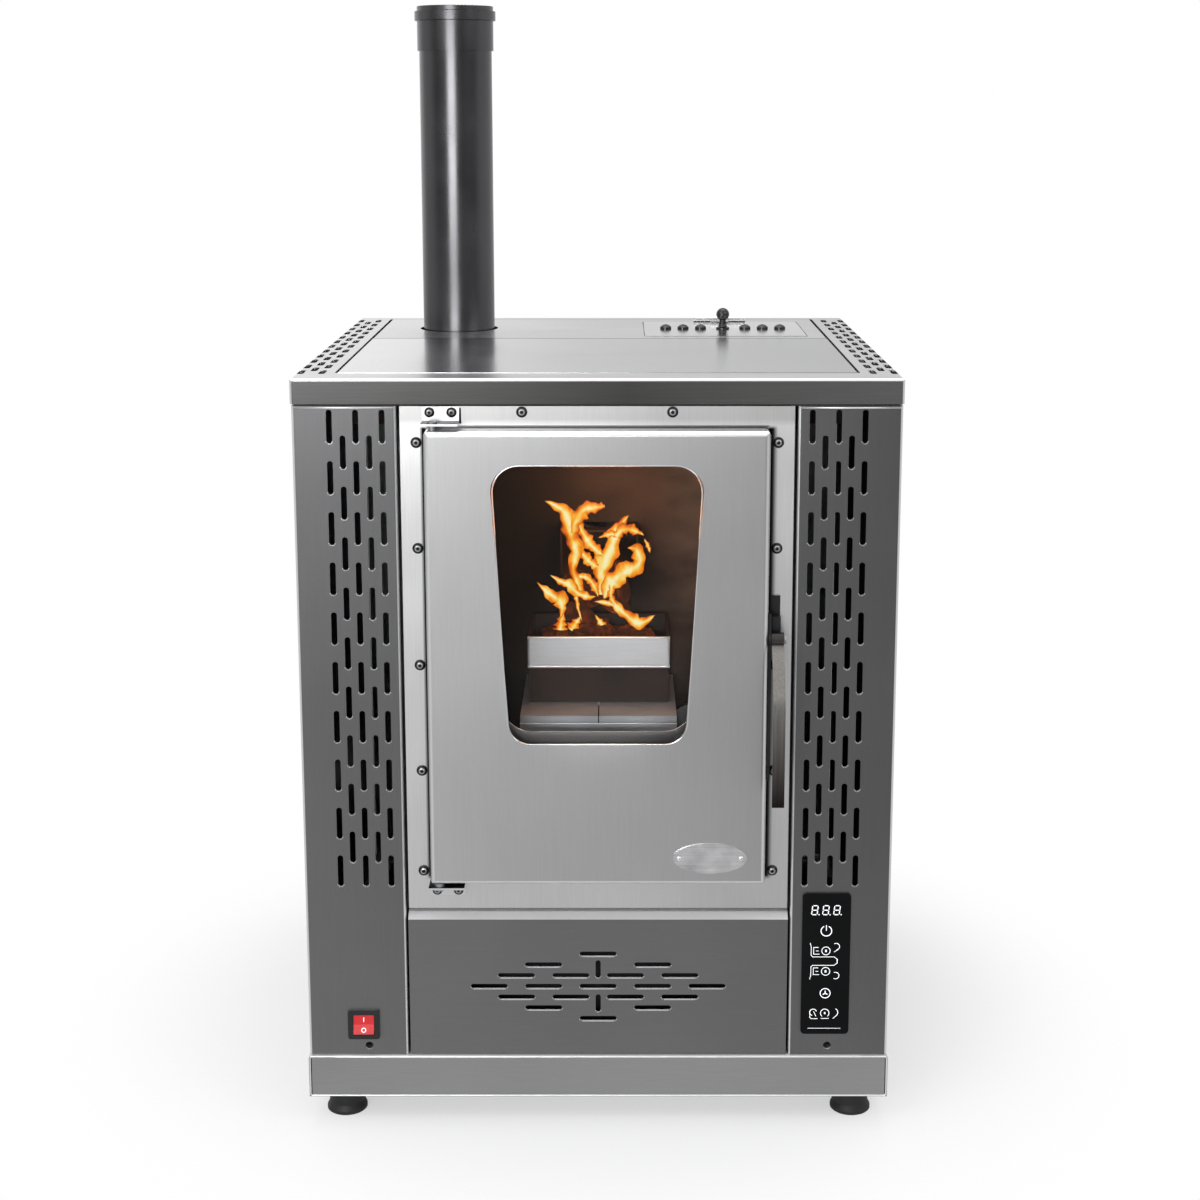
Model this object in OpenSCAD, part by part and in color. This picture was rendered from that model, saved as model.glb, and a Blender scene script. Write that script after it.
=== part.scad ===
// Pellet cookstove: a free-standing sheet steel stove with a cooking surface, a glazed fire door,
// a hopper and auger that feed pellets to the burn pot, an exhaust fan and a flue pipe.
// The origin is on the floor under the middle, +X is to the right, +Y to the back and +Z up.

/* [Body] */
// Width over the plinth and the top
body_w = 570; // [560:1:620]
// Depth from the front fascia to the back
body_d = 548; // [540:1:600]
// Height of the cooking surface above the floor
body_h = 744; // [738:1:800]
// Thickness of the outer sheet steel
sheet = 2; // [1.5:0.1:2.5]
// Outer radius of the bends in the sheet
bend_r = 3; // [2.6:0.1:5]
// Clearance between pieces that are fitted together
fit = 0.3; // [0.2:0.05:0.4]
// Radial clearance of a pin or shaft in its bore
run = 0.05; // [0.02:0.01:0.1]

/* [Base] */
// Height of a rubber foot
foot_h = 30; // [24:1:40]
// Diameter of a foot at the floor
foot_d = 40; // [34:1:48]
// Distance of the feet from the side edges
foot_inset = 32; // [28:1:60]
// Distance of the feet from the front and back edges
foot_setback = 36; // [30:1:70]
// Diameter of the bolt in a foot
foot_bolt_d = 8; // [6:1:10]
// Height of the plinth
plinth_h = 43; // [36:1:50]
// How far the plinth stands in front of the fascia
plinth_proud = 1.5; // [0.5:0.5:3]

/* [Columns] */
// Width of the middle frame beside the door
frame_side = 26.5; // [24:0.5:30]
// Width of the dark joint beside the middle frame
col_joint = 2.9; // [2:0.1:4]
// Length of a ventilation slot
slot_l = 32; // [24:1:38]
// Width of a ventilation slot
slot_w = 5.5; // [4:0.5:7]
// Distance between columns of slots
slot_step_x = 12.25; // [10:0.25:14]
// Distance between slots along a column
slot_step_z = 48.33; // [44:0.01:52]
// Slots in a full column
slot_rows = 10; // [6:1:10]
// Diameter of the small hole at the foot of a column
col_hole_d = 7.8; // [5:0.1:10]

/* [Top] */
// Height of the fascia round the top
fascia_h = 24; // [18:1:30]
// Height of the dark joint under the fascia
shadow_gap = 2; // [1.5:0.1:3]
// Width of the front band of the top
rim_front = 41; // [36:1:46]
// Width of the slotted side bands of the top
rim_side = 37; // [35:1:42]
// Width of the back band of the top
rim_back = 18; // [14:1:24]
// Depth of the deck behind the hot plate
deck_d = 199.4; // [196:0.1:204]
// Thickness of the hot plate
hob_t = 6; // [5:0.5:7]
// Joint between the plates of the top
top_gap = 3; // [2:0.1:4]
// Length of a slot in the side bands
vent_l = 27; // [20:1:32]
// Width of a slot in the side bands
vent_w = 6.4; // [3:0.1:7]
// Distance between slots along a side band
vent_step = 42; // [38:1:46]

/* [Middle frame and door] */
// Width of the door
door_w = 320; // [310:1:330]
// Height of the door
door_h = 439.4; // [430:0.1:444]
// Depth of the door shell
door_t = 19.7; // [18:0.1:22]
// Space behind the door shell that the gasket fills
door_gap = 4.3; // [4:0.1:5]
// Distance of the door from the top of the frame
door_drop = 20; // [18:1:24]
// Radius of the door's front edges
door_r = 5; // [3:0.5:7]
// Width of the window at its top
win_w_top = 197.6; // [180:0.1:204]
// Width of the window at its bottom
win_w_bottom = 167.6; // [150:0.1:190]
// Height of the window
win_h = 267.2; // [250:0.1:275]
// Distance of the window from the top of the door
win_drop = 32.1; // [30:0.1:40]
// Corner radius at the top of the window
win_r_top = 25; // [15:1:30]
// Corner radius at the bottom of the window
win_r_bottom = 21; // [15:1:30]
// Thickness of the ceramic glass
glass_t = 4; // [3:0.5:5]
// Diameter of the hinge pins
hinge_d = 6; // [5:0.5:7]
// Diameter of a frame screw's head
screw_d = 10.4; // [8:0.1:12]

/* [Latch] */
// Height of the lever's pivot above the foot of the door
latch_rise = 241.4; // [200:0.1:260]
// Width of the lever's strap
lever_w = 11.5; // [9:0.5:13]
// Thickness of the lever's strap
lever_t = 3; // [2:0.5:4]
// How far the lever stands in front of the door
lever_reach = 28; // [22:1:34]
// Length of the lever below its pivot
lever_l = 154; // [130:1:170]
// Diameter of the lever's pin
latch_pin_d = 6; // [5:0.5:7]

/* [Drawer] */
// Height of the drawer front with its lip
drawer_h = 146.5; // [140:0.5:150]
// Height of the joint above the drawer front
drawer_gap = 5.6; // [4:0.1:7]
// Length of the drawer box
drawer_l = 370; // [340:1:380]
// Length of a slot in the drawer front
dslot_l = 36; // [30:1:40]
// Width of a slot in the drawer front
dslot_w = 5; // [4:0.5:6]
// Distance between rows of slots in the drawer front
dslot_row = 11.2; // [10:0.1:13]

/* [Fire] */
// Inner width of the firebox
fire_w = 280; // [274:1:290]
// Depth of the room behind the firebox
rear_room = 279.7; // [278:0.1:284]
// Thickness of the firebox steel
fire_t = 3; // [2:0.5:4]
// Width of the burn pot
pot_w = 144; // [130:1:150]
// Height of the burn pot's rim
pot_rim_h = 32.5; // [28:0.5:36]
// Depth of the burn pot from front to back
pot_d = 98; // [90:1:100]
// Distance of the burn pot from the back of the firebox
pot_back = 34.3; // [30:0.1:40]
// Height of the burn pot's top above the foot of the window
pot_rise = 64.8; // [58:0.1:70]
// Height of the pot holder
holder_h = 36; // [30:0.5:40]

/* [Feed] */
// Outer diameter of the auger tube
auger_tube_d = 60; // [56:1:64]
// Wall of the auger tube
auger_wall = 3; // [2:0.5:4]
// Distance that the auger moves pellets in a turn
auger_pitch = 40; // [30:1:50]
// Diameter of the auger shaft
auger_shaft_d = 12; // [10:1:16]
// Width of the hopper lid
lid_w = 177; // [170:1:182]
// Depth of the hopper lid
lid_d = 148; // [144:1:152]
// Distance of the hopper lid from the side band
lid_side = 21.7; // [19:0.1:24]
// Diameter of the ball on the lid's knob
knob_d = 14.6; // [12:0.1:18]
// Diameter of the hinge barrel on the lid
barrel_d = 6.4; // [5.6:0.1:8]

/* [Flue] */
// Outer diameter of the flue pipe
flue_d = 80; // [78:1:80]
// Wall of the flue pipe
flue_wall = 1.5; // [1:0.1:1.8]
// Place of the flue from the stove's middle
flue_x = -160; // [-165:1:-155]
// Distance of the flue from the stove's back
flue_back = 113; // [110:1:118]
// Height of the flue pipe above the cooking surface
flue_rise = 355; // [250:1:500]
// Length of the socket at the top of the flue pipe
socket_l = 46.5; // [40:0.5:60]
// Inner radius of the exhaust fan's housing
fan_r = 83; // [75:1:85]
// Blades on the exhaust fan
fan_blades = 10; // [6:1:14]
// Outer diameter of the air intake pipe
intake_d = 50; // [40:1:60]

/* [Controls] */
// Width of the control panel
panel_w = 47; // [40:1:50]
// Height of the control panel
panel_h = 145.5; // [130:0.5:150]
// Width of the switch bezel
switch_w = 31; // [28:0.5:33]
// Height of the switch bezel
switch_h = 30; // [28:0.5:32]
// Tilt of the rocker away from level
rocker_tilt = 10; // [6:1:12]

/* [Hidden] */
$fn = 48;
eps = 0.01;

// Heights from the floor up
plinth_z1 = foot_h + plinth_h;
col_z0 = plinth_z1 + 0.5;
col_z1 = body_h - fascia_h - shadow_gap;
fascia_z0 = body_h - fascia_h;
drawer_z1 = col_z0 + drawer_h;
frame_z0 = drawer_z1 + drawer_gap;
door_z1 = col_z1 - door_drop;
door_z0 = door_z1 - door_h;
win_z1 = door_z1 - win_drop;
win_z0 = win_z1 - win_h;
pot_z1 = win_z0 + pot_rise;
pot_z0 = pot_z1 - pot_rim_h;
holder_z1 = pot_z0 - fit;
holder_z0 = holder_z1 - holder_h;
fire_z0 = door_z0 + 16.4;
fire_z1 = col_z1 - 28;
heat_z0 = fire_z1 + fire_t + fit;
hob_z0 = body_h + fit - hob_t;
ledge_z1 = hob_z0 - fit;
ledge_z0 = ledge_z1 - sheet;

// Planes from the front to the back
front_y = -body_d / 2;
back_y = body_d / 2;
col_y = front_y + 1;
frame_y = front_y + sheet;
frame_back_y = frame_y + sheet;
door_y1 = frame_y - door_gap;
door_y0 = door_y1 - door_t;
lever_y = door_y0 - lever_reach;
fire_y0 = frame_back_y + fit;
partition_y = back_y - rear_room;
fire_y1 = partition_y - fire_t - 3;
hob_y0 = front_y + rim_front;
deck_y1 = back_y - rim_back;
seam_y = deck_y1 - deck_d;
hob_y1 = seam_y - top_gap;
flue_y = back_y - flue_back;

// Half widths and places across
half_w = body_w / 2;
door_x = door_w / 2;
col_x1 = half_w - 1;
col_x0 = door_x + frame_side;
col_w = col_x1 - col_x0;
frame_x = col_x0 - col_joint;
drawer_x = col_x0 - sheet;
wall_x1 = col_x0 - fit;
wall_x0 = wall_x1 - sheet;
open_x = half_w - rim_side;
ledge_w = 12;
hinge_x = -door_x + 8;
hinge_y = door_y0 + 8;
latch_y = door_y0 + 6;
latch_z = door_z0 + latch_rise;
lever_x0 = door_x + 3.3;
keeper_y = latch_y + 9;
keeper_z = latch_z + 5;
keeper_r = 2.5;

// Fire, chute and hinges
heat_y0 = hob_y0 + 15;
heat_y1 = seam_y - 11;
pot_y1 = fire_y1 - pot_back;
pot_y0 = pot_y1 - pot_d;
igniter_z = holder_z0 + 18;
igniter_r = 6;
chute_w = 82;
chute_z0 = pot_z1 + 43.5;
chute_z1 = chute_z0 + 48;
chute_y0 = pot_y1 - 8.7;
hinge_top_z = door_z1 + 4.5;
hinge_foot_z = door_z0 - 4.1;
hinge_screw_xs = [-door_x + 4.5, -door_x + 25];
hinge_screw_zs = [col_z1 - 5.4, hinge_foot_z - 9.5];

// Auger, fan and hopper
auger_a = 45;
auger_len = 224;
auger_r = auger_tube_d / 2;
auger_y0 = back_y - 89.7;
auger_z0 = fire_z0 + 131;
auger_mouth_y = partition_y + 58;
neck_y0 = auger_y0 - 56;
neck_y1 = auger_y0 - 12;
hopper_z0 = auger_z0 + 76 + auger_r * sqrt(2);
hopper_z1 = hopper_z0 + 66;
lid_x = open_x - lid_side - lid_w / 2;
hopper_x0 = lid_x - lid_w / 2 - 9;
hopper_x1 = open_x - ledge_w - 4;
lid_y1 = deck_y1 - 31.5;
lid_y0 = lid_y1 - lid_d;
lid_y = (lid_y0 + lid_y1) / 2;
lid_cap_xs = [-64.3, -44.7, -25, 25, 44.7, 64.3];
lid_axis_y = lid_y1 + 2;
lid_axis_z = body_h + fit + barrel_d / 2;
barrel_pin_r = 1.5;
hinge_part = 10;
fan_w = 60;
fan_wall = sheet;
fan_x = flue_x + fan_r - fan_w / 2;
fan_z = col_z0 + 176.5;
fan_y0 = flue_y - fan_w / 2;
fan_y1 = fan_y0 + fan_w;
fan_top = fire_z1 - 90;
downcomer_w = 90;
downcomer_x0 = fan_x - downcomer_w / 2;
intake_x = 100;
intake_z = fire_z0 + 55;

// Controls
switch_x = -(col_x0 + 43.5);
switch_z = col_z0 + 31.9;
rocker_r = 9.9;
rocker_w = 20;
rocker_y = col_y - 0.5;
panel_x = col_x0 + 35.5;
panel_z = col_z0 + 95.2;

screw_zs = [for (share = [0.032, 0.261, 0.519, 0.757, 0.987]) door_z1 - share * door_h];
screw_x = frame_x - 15.1;
screw_shank_d = 4.8;
screw_hole_r = 2.6;
screw_top_x = 70;
screw_top_z = col_z1 - 5.4;

steel = "#8d8e90";
dark_steel = "#5b5c5f";
bright_steel = "#c9cbcd";
black = "#18181a";

// A box given by its two corners
module block(a, b) {
    translate(a) cube([b[0] - a[0], b[1] - a[1], b[2] - a[2]]);
}

// A box and its mirror image on the other side of the stove
module block_pair(a, b) {
    block(a, b);
    mirror([1, 0, 0]) block(a, b);
}

// A flat rectangle with round corners, centred
module round_rect(w, h, r) {
    square([w - 2 * r, h], center = true);
    square([w, h - 2 * r], center = true);
    for (x = [-1, 1], y = [-1, 1])
        translate([x * (w / 2 - r), y * (h / 2 - r)]) circle(r);
}

// A slot along the second axis with round ends
module slot(l, w) {
    square([w, l - w], center = true);
    for (y = [-1, 1])
        translate([0, y * (l - w) / 2]) circle(d = w, $fn = 24);
}

// A quarter of a bent sheet with its centre at the origin, in the first quarter turn
module bend(r, t) {
    intersection() {
        difference() {
            circle(r);
            circle(r - t);
        }
        square(r + 1);
    }
}

// A rectangle whose near corners are round, with its near side on the first axis
module blunt_rect(w, d, r) {
    translate([-w / 2, r]) square([w, d - r]);
    translate([-w / 2 + r, 0]) square([w - 2 * r, d]);
    for (x = [-1, 1]) translate([x * (w / 2 - r), r]) circle(r);
}

// A box that stands on its front: the edges round its foot are as round as its corners
module blunt_box(w, h, d, r) {
    intersection() {
        linear_extrude(d) round_rect(w, h, r);
        translate([0, h / 2 + 1, 0]) rotate([90, 0, 0]) linear_extrude(h + 2) blunt_rect(w, d, r);
        translate([-w / 2 - 1, 0, 0]) rotate([90, 0, 90]) linear_extrude(w + 2) blunt_rect(h, d, r);
    }
}

// Lays a flat shape drawn in width and height against a plane, with thickness to the back
module upright(y, t) {
    translate([0, y + t, 0]) rotate([90, 0, 0]) linear_extrude(t) children();
}

// Runs a section drawn in depth and height across the stove between two places
module across(x0, x1) {
    translate([x0, 0, 0]) rotate([90, 0, 90]) linear_extrude(x1 - x0) children();
}

// A rod along the depth, the width or the height
module rod_y(x, z, r, y0, y1) {
    translate([x, y1, z]) rotate([90, 0, 0]) cylinder(r = r, h = y1 - y0);
}
module rod_x(y, z, r, x0, x1) {
    translate([x0, y, z]) rotate([0, 90, 0]) cylinder(r = r, h = x1 - x0);
}
module rod_z(x, y, r, z0, z1) {
    translate([x, y, z0]) cylinder(r = r, h = z1 - z0);
}

// The trapezoid of the window with round corners, grown by a margin
module window_2d(m = 0, foot = 0) {
    r1 = win_r_top + m;
    r0 = win_r_bottom + m;
    hull() {
        for (s = [-1, 1]) {
            translate([s * (win_w_top / 2 - win_r_top), win_z1 - win_r_top]) circle(r1);
            translate([s * (win_w_bottom / 2 - win_r_bottom), win_z0 + foot + win_r_bottom]) circle(r0);
        }
    }
}

module at_feet() {
    for (x = [-1, 1], y = [-1, 1])
        translate([x * (half_w - foot_inset), y * (body_d / 2 - foot_setback), 0]) children();
}

// Base
module plinth_section() {
    square([sheet, plinth_h - bend_r]);
    translate([bend_r, plinth_h - bend_r]) mirror([1, 0]) bend(bend_r, sheet);
    translate([bend_r, plinth_h - sheet]) square([26 - bend_r, sheet]);
}

module plinth() {
    seam = 0.8;
    y0 = front_y - plinth_proud;
    color("#86878a") difference() {
        union() {
            across(-half_w + sheet + seam, half_w - sheet - seam)
                translate([y0, foot_h]) plinth_section();
            across(-half_w + sheet + seam, half_w - sheet - seam)
                translate([back_y, foot_h]) mirror([1, 0]) plinth_section();
            for (s = [0, 1])
                mirror([s, 0, 0]) translate([0, back_y, 0]) rotate([90, 0, 0])
                    linear_extrude(back_y - y0) translate([-half_w, foot_h]) plinth_section();
            block([-half_w, y0 + sheet, foot_h], [half_w, back_y - sheet, foot_h + sheet]);
        }
        at_feet() translate([0, 0, foot_h - 1]) cylinder(d = foot_bolt_d + 0.8, h = sheet + 2);
    }
}

module feet() {
    r = foot_d / 2;
    color(black) at_feet() difference() {
        rotate_extrude() polygon([
            [0, 0], [r - 1, 0], [r, 1], [r, 4], [r - 2.4, 9], [r - 2.8, foot_h - 4],
            [r - 2, foot_h - 3], [r - 2, foot_h - fit], [0, foot_h - fit]
        ]);
        translate([0, 0, foot_h - 22]) cylinder(d = foot_bolt_d + 0.4, h = 30);
    }
}

module foot_bolts() {
    color("silver") at_feet() {
        translate([0, 0, foot_h - 21.7]) cylinder(d = foot_bolt_d, h = 38);
        translate([0, 0, foot_h + sheet + fit]) cylinder(r = foot_bolt_d * 0.92, h = 6.5, $fn = 6);
    }
}

// Columns: the slotted front face and the side wall are one folded sheet
module slot_field() {
    for (i = [-2:2]) {
        odd = i % 2 != 0;
        rows = odd ? slot_rows - 1 : slot_rows;
        top = col_z1 - 19.2 - (odd ? slot_step_z / 2 : 0);
        for (k = [0:rows - 1])
            translate([col_x0 + 38 + i * slot_step_x, top - k * slot_step_z]) slot(slot_l, slot_w);
    }
}

module casing_plan() {
    lip = 26;
    translate([col_x0 + bend_r, col_y]) square([col_w - 2 * bend_r, sheet]);
    translate([col_x1 - bend_r, col_y + bend_r]) mirror([0, 1]) bend(bend_r, sheet);
    translate([col_x0 + bend_r, col_y + bend_r]) rotate(180) bend(bend_r, sheet);
    translate([col_x1 - sheet, col_y + bend_r]) square([sheet, back_y - sheet - col_y - bend_r]);
    translate([col_x0, col_y + bend_r]) square([sheet, lip - bend_r]);
}

module casing() {
    flange = 14;
    difference() {
        union() {
            translate([0, 0, col_z0]) linear_extrude(col_z1 - col_z0) casing_plan();
            for (z = [col_z0, col_z1 - sheet]) {
                block([col_x0 + 1, col_y + 1, z], [col_x1 - 1, col_y + flange, z + sheet]);
                block([col_x1 - flange, col_y + 1, z], [col_x1 - 1, back_y - sheet - 6, z + sheet]);
            }
        }
        upright(col_y - 1, sheet + 2) slot_field();
        upright(col_y - 1, sheet + 2) translate([col_x0 + 38.6, col_z0 + 9.2]) circle(d = col_hole_d);
    }
}

module left_casing() {
    color(dark_steel) difference() {
        mirror([1, 0, 0]) casing();
        block([switch_x - 13.5, col_y - 5, switch_z - 12.5], [switch_x + 13.5, col_y + 5, switch_z + 12.5]);
    }
}

module right_casing() {
    color(dark_steel) difference() {
        casing();
        upright(col_y - 1, sheet + 2)
            translate([panel_x, panel_z]) square([panel_w - 6, panel_h - 6], center = true);
    }
}

module rear_panel() {
    x1 = col_x1 - sheet - fit;
    y0 = back_y - 2 * sheet;
    color(steel) difference() {
        union() {
            upright(y0, sheet) translate([-x1, col_z0]) square([2 * x1, col_z1 - col_z0]);
            block([-x1 + 16, y0 - 12, col_z1 - sheet], [x1 - 16, y0 + 1, col_z1]);
            block([-x1 + 16, y0 - 12, col_z0], [x1 - 16, y0 + 1, col_z0 + sheet]);
        }
        upright(y0 - 1, sheet + 2) {
            translate([intake_x, intake_z]) circle(d = intake_d + 1.2);
            translate([-col_x0 - 34, col_z0 + 46]) square([47, 27], center = true);
            for (i = [-5:5], k = [0, 1])
                translate([120 + i * 13, col_z1 - 60 - k * 44]) slot(slot_l, slot_w);
            for (i = [-5:5])
                translate([-120 + i * 13, col_z0 + 110]) slot(slot_l, slot_w);
        }
    }
}

// Inner steelwork
module inner_walls() {
    z0 = foot_h + sheet + fit;
    color(steel) {
        block_pair([wall_x0, front_y + 26, z0], [wall_x1, partition_y - fit, heat_z0 - fit]);
        block_pair([wall_x0, front_y + 26, z0], [wall_x1, col_y + drawer_l, drawer_z1 - 14 - fit]);
    }
}

module partition() {
    color(steel) difference() {
        block([-wall_x1, partition_y, drawer_z1 - 14], [wall_x1, partition_y + sheet, heat_z0 - fit]);
        rod_y(intake_x, intake_z, intake_d / 2 + fit, partition_y - 5, partition_y + 9);
        rod_y(30, igniter_z, igniter_r + fit, partition_y - 5, partition_y + 9);
        block([-chute_w / 2 - fit, partition_y - 5, chute_z0 - fit],
              [chute_w / 2 + fit, partition_y + 9, chute_z1 + fit]);
    }
}

module front_frame() {
    mouth_w = fire_w - 30;
    fold = 24;
    color(bright_steel) difference() {
        union() {
            upright(frame_y, sheet) translate([-frame_x, frame_z0]) square([2 * frame_x, col_z1 - frame_z0]);
            block_pair([frame_x - sheet, frame_y + 1, frame_z0], [frame_x, frame_y + fold, col_z1]);
            block([-frame_x + 1, frame_y + 1, frame_z0], [frame_x - 1, frame_y + 14, frame_z0 + sheet]);
        }
        upright(frame_y - 1, sheet + 2) translate([0, (door_z0 + door_z1) / 2])
            round_rect(mouth_w, door_h - 60, 8);
        for (s = [-1, 1], z = screw_zs) rod_y(s * screw_x, z, screw_hole_r, frame_y - 1, frame_y + 4);
        for (s = [-1, 1]) rod_y(s * screw_top_x, screw_top_z, screw_hole_r, frame_y - 1, frame_y + 4);
        for (x = hinge_screw_xs, z = hinge_screw_zs) rod_y(x, z, screw_hole_r, frame_y - 1, frame_y + 4);
    }
}

// A button head screw with a hexagon socket, its head against the plane y
module button_screw(x, y, z, d, l) {
    h = d * 0.34;
    translate([x, y, z]) rotate([90, 0, 0]) difference() {
        union() {
            intersection() {
                translate([0, 0, h - d * 0.62]) sphere(d * 0.62, $fn = 32);
                cylinder(d = d, h = h);
            }
            translate([0, 0, -l]) cylinder(d = screw_shank_d, h = l + 0.5);
        }
        translate([0, 0, h * 0.35]) cylinder(d = d * 0.36, h = h, $fn = 6);
    }
}

module frame_screws() {
    color("#3a3a3c") {
        for (s = [-1, 1], z = screw_zs) button_screw(s * screw_x, frame_y - 0.02, z, screw_d, 6);
        for (s = [-1, 1]) button_screw(s * screw_top_x, frame_y - 0.02, screw_top_z, screw_d, 6);
        for (x = hinge_screw_xs, z = hinge_screw_zs) button_screw(x, frame_y - 2.02, z, screw_d - 1, 8);
    }
}

// Top
module vent_field() {
    margin = 46.5;
    count = floor((body_d - 2 * margin) / vent_step) + 2;
    for (i = [-1:1]) {
        n = i == 0 ? count - 1 : count;
        start = front_y + margin + (i == 0 ? vent_step / 2 : 0);
        for (k = [0:n - 1])
            translate([half_w - 15 + i * 10, start + k * vent_step]) slot(vent_l, vent_w);
    }
}

module top_frame() {
    t = sheet;
    back = 12;
    color(bright_steel) difference() {
        union() {
            difference() {
                top_blank(0);
                top_blank(t);
            }
            difference() {
                translate([0, 0, fascia_z0]) linear_extrude(t) round_rect(body_w - t, body_d - t, bend_r);
                block([back - half_w, front_y + back, fascia_z0 - 1],
                      [half_w - back, back_y - back, body_h]);
            }
            block([-open_x - t, hob_y0 - t, ledge_z0], [open_x + t, deck_y1 + t, body_h - t / 2]);
        }
        block([-open_x, hob_y0, ledge_z1], [open_x, deck_y1, body_h + 1]);
        block([-open_x + ledge_w, hob_y0 + ledge_w, ledge_z0 - 1],
              [open_x - ledge_w, seam_y - 8, ledge_z1 + 1]);
        block([-open_x + ledge_w, seam_y + 8, ledge_z0 - 1],
              [open_x - ledge_w, deck_y1 - ledge_w, ledge_z1 + 1]);
        for (s = [0, 1]) mirror([s, 0, 0])
            translate([0, 0, body_h - t - 1]) linear_extrude(t + 2) vent_field();
    }
}

// The outside of the top, or its inside with an inset
module top_blank(inset) {
    translate([0, 0, body_h - inset]) mirror([0, 0, 1])
        blunt_box(body_w - 2 * inset, body_d - 2 * inset, fascia_h, bend_r - inset);
}

module top_seal() {
    inset = 4;
    color(black) difference() {
        block([-half_w + inset, front_y + inset, col_z1 + 0.2],
              [half_w - inset, back_y - inset, fascia_z0 - 0.2]);
        block([-half_w + inset + 6, front_y + inset + 6, 0],
              [half_w - inset - 6, back_y - inset - 6, body_h]);
    }
}

module hot_plate() {
    w = open_x - top_gap;
    color(bright_steel) block([-w, hob_y0 + 0.5, hob_z0], [w, hob_y1, hob_z0 + hob_t]);
}

module rear_deck() {
    w = open_x - top_gap;
    y1 = deck_y1 - 1;
    t = sheet;
    color(bright_steel) difference() {
        union() {
            block([-w, seam_y, body_h - t], [w, y1, body_h]);
            block_pair([w - t, seam_y, hob_z0], [w, y1, body_h]);
            block([-w, y1 - t, hob_z0], [w, y1, body_h]);
            block([-w, seam_y, hob_z0], [w, seam_y + t, body_h]);
        }
        rod_z(flue_x, flue_y, flue_d / 2 + 3.7, body_h - 9, body_h + 9);
        block([lid_x - lid_w / 2 - 1, lid_y0 - 1, body_h - 9],
              [lid_x + lid_w / 2 + 1, lid_y1 + 1, body_h + 9]);
    }
}

module hob_seal() {
    r = open_x - ledge_w - 3;
    color(black) difference() {
        block([-r, heat_y0, hob_z0 - 2.7], [r, heat_y1, hob_z0 - fit]);
        block([-r + 8, heat_y0 + 8, 0], [r - 8, heat_y1 - 8, body_h]);
    }
}

// Shallow box that spreads the hot gas under the hot plate
module heat_box() {
    x = open_x - ledge_w - 2;
    top = hob_z0 - 3;
    color(dark_steel) difference() {
        union() {
            difference() {
                block([-x, heat_y0 - 1, heat_z0], [x, heat_y1 + 1, top]);
                block([-x + 2, heat_y0 + 1, heat_z0 + 2], [x - 2, heat_y1 - 1, top + 1]);
            }
            block_pair([x - 9, heat_y0, top - 2], [x - 1, heat_y1, top]);
        }
        block([-fire_w / 2 + 34, fire_y0 + 50, heat_z0 - 1], [fire_w / 2 - 34, fire_y1 - 40, heat_z0 + 3]);
        block([downcomer_x0 + 3, partition_y + 15, heat_z0 - 1],
              [downcomer_x0 + downcomer_w - 3, partition_y + 46, heat_z0 + 3]);
    }
}

// Firebox, burn pot and what carries it
module firebox() {
    x = fire_w / 2;
    t = fire_t;
    flange_x = frame_x - sheet - fit;
    color("#241b17") difference() {
        union() {
            block([-x - t, fire_y0, fire_z0 - t], [x + t, fire_y1 + t, fire_z1 + t]);
            block_pair([x - 1, fire_y0, fire_z0 - t], [flange_x, fire_y0 + t, fire_z0 + 24]);
            block_pair([x - 1, fire_y0, fire_z1 - 24], [flange_x, fire_y0 + t, fire_z1 + t]);
        }
        difference() {
            block([-x, fire_y0 - 1, fire_z0], [x, fire_y1, fire_z1]);
            block_pair([x - 12, fire_y0 + 40, fire_z1 - 22], [x + 1, fire_y1 - 20, fire_z1 - 19]);
        }
        block([-x + 34, fire_y0 + 50, fire_z1 - 1], [x - 34, fire_y1 - 40, fire_z1 + t + 1]);
        rod_y(intake_x, intake_z, intake_d / 2 + fit, fire_y1 - 5, fire_y1 + 9);
        rod_y(30, igniter_z, igniter_r + fit, fire_y1 - 5, fire_y1 + 9);
        for (s = [-1, 1]) rod_y(s * screw_x, screw_zs[0], screw_hole_r, fire_y0 - 1, fire_y0 + t + 1);
        block([-chute_w / 2 - fit, fire_y1 - 5, chute_z0 - fit],
              [chute_w / 2 + fit, fire_y1 + 9, chute_z1 + fit]);
    }
}

module baffle() {
    x = fire_w / 2 - fit * 2;
    color("#8a8274") block([-x, fire_y0 + 42, fire_z1 - 18.7], [x, fire_y1 - 62, fire_z1 - 8]);
}

module pot_stand() {
    x = pot_w / 2 + 6;
    y0 = pot_y0 - 46;
    y1 = pot_y1 + 8;
    z = holder_z0 - fit;
    t = 3;
    color(bright_steel) difference() {
        union() {
            block([-x, y0, z - t], [x, y1, z]);
            block([-x, y0, z - 12], [x, y0 + t, z]);
            block_pair([x - t, y0 + 12, fire_z0 + fit], [x, y1, z]);
            block([-x, y0 - 9, fire_z0 + fit], [x, y0 - 6, z - 5.5]);
            block([-x, y0 - 9, fire_z0 + fit], [x, y1, fire_z0 + fit + t]);
        }
        block([-pot_w / 2 + 10, pot_y0 + 8, z - t - 1], [pot_w / 2 - 10, pot_y1 - 8, z + 1]);
        block([-0.6, y0 - 1, z - t - 9.5], [0.6, pot_y0 + 2, z + 1]);
    }
}

module pot_holder() {
    x = pot_w / 2 - 1;
    t = 3;
    y0 = pot_y0 + 1;
    y1 = pot_y1 - 1;
    color("#2b2725") difference() {
        block([-x, y0, holder_z0], [x, y1, holder_z1]);
        block([-x + t, y0 + t, holder_z0 - 1], [x - t, y1 - t, holder_z1 + 1]);
        rod_y(30, igniter_z, igniter_r + fit, y1 - 9, y1 + 9);
    }
}

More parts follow.
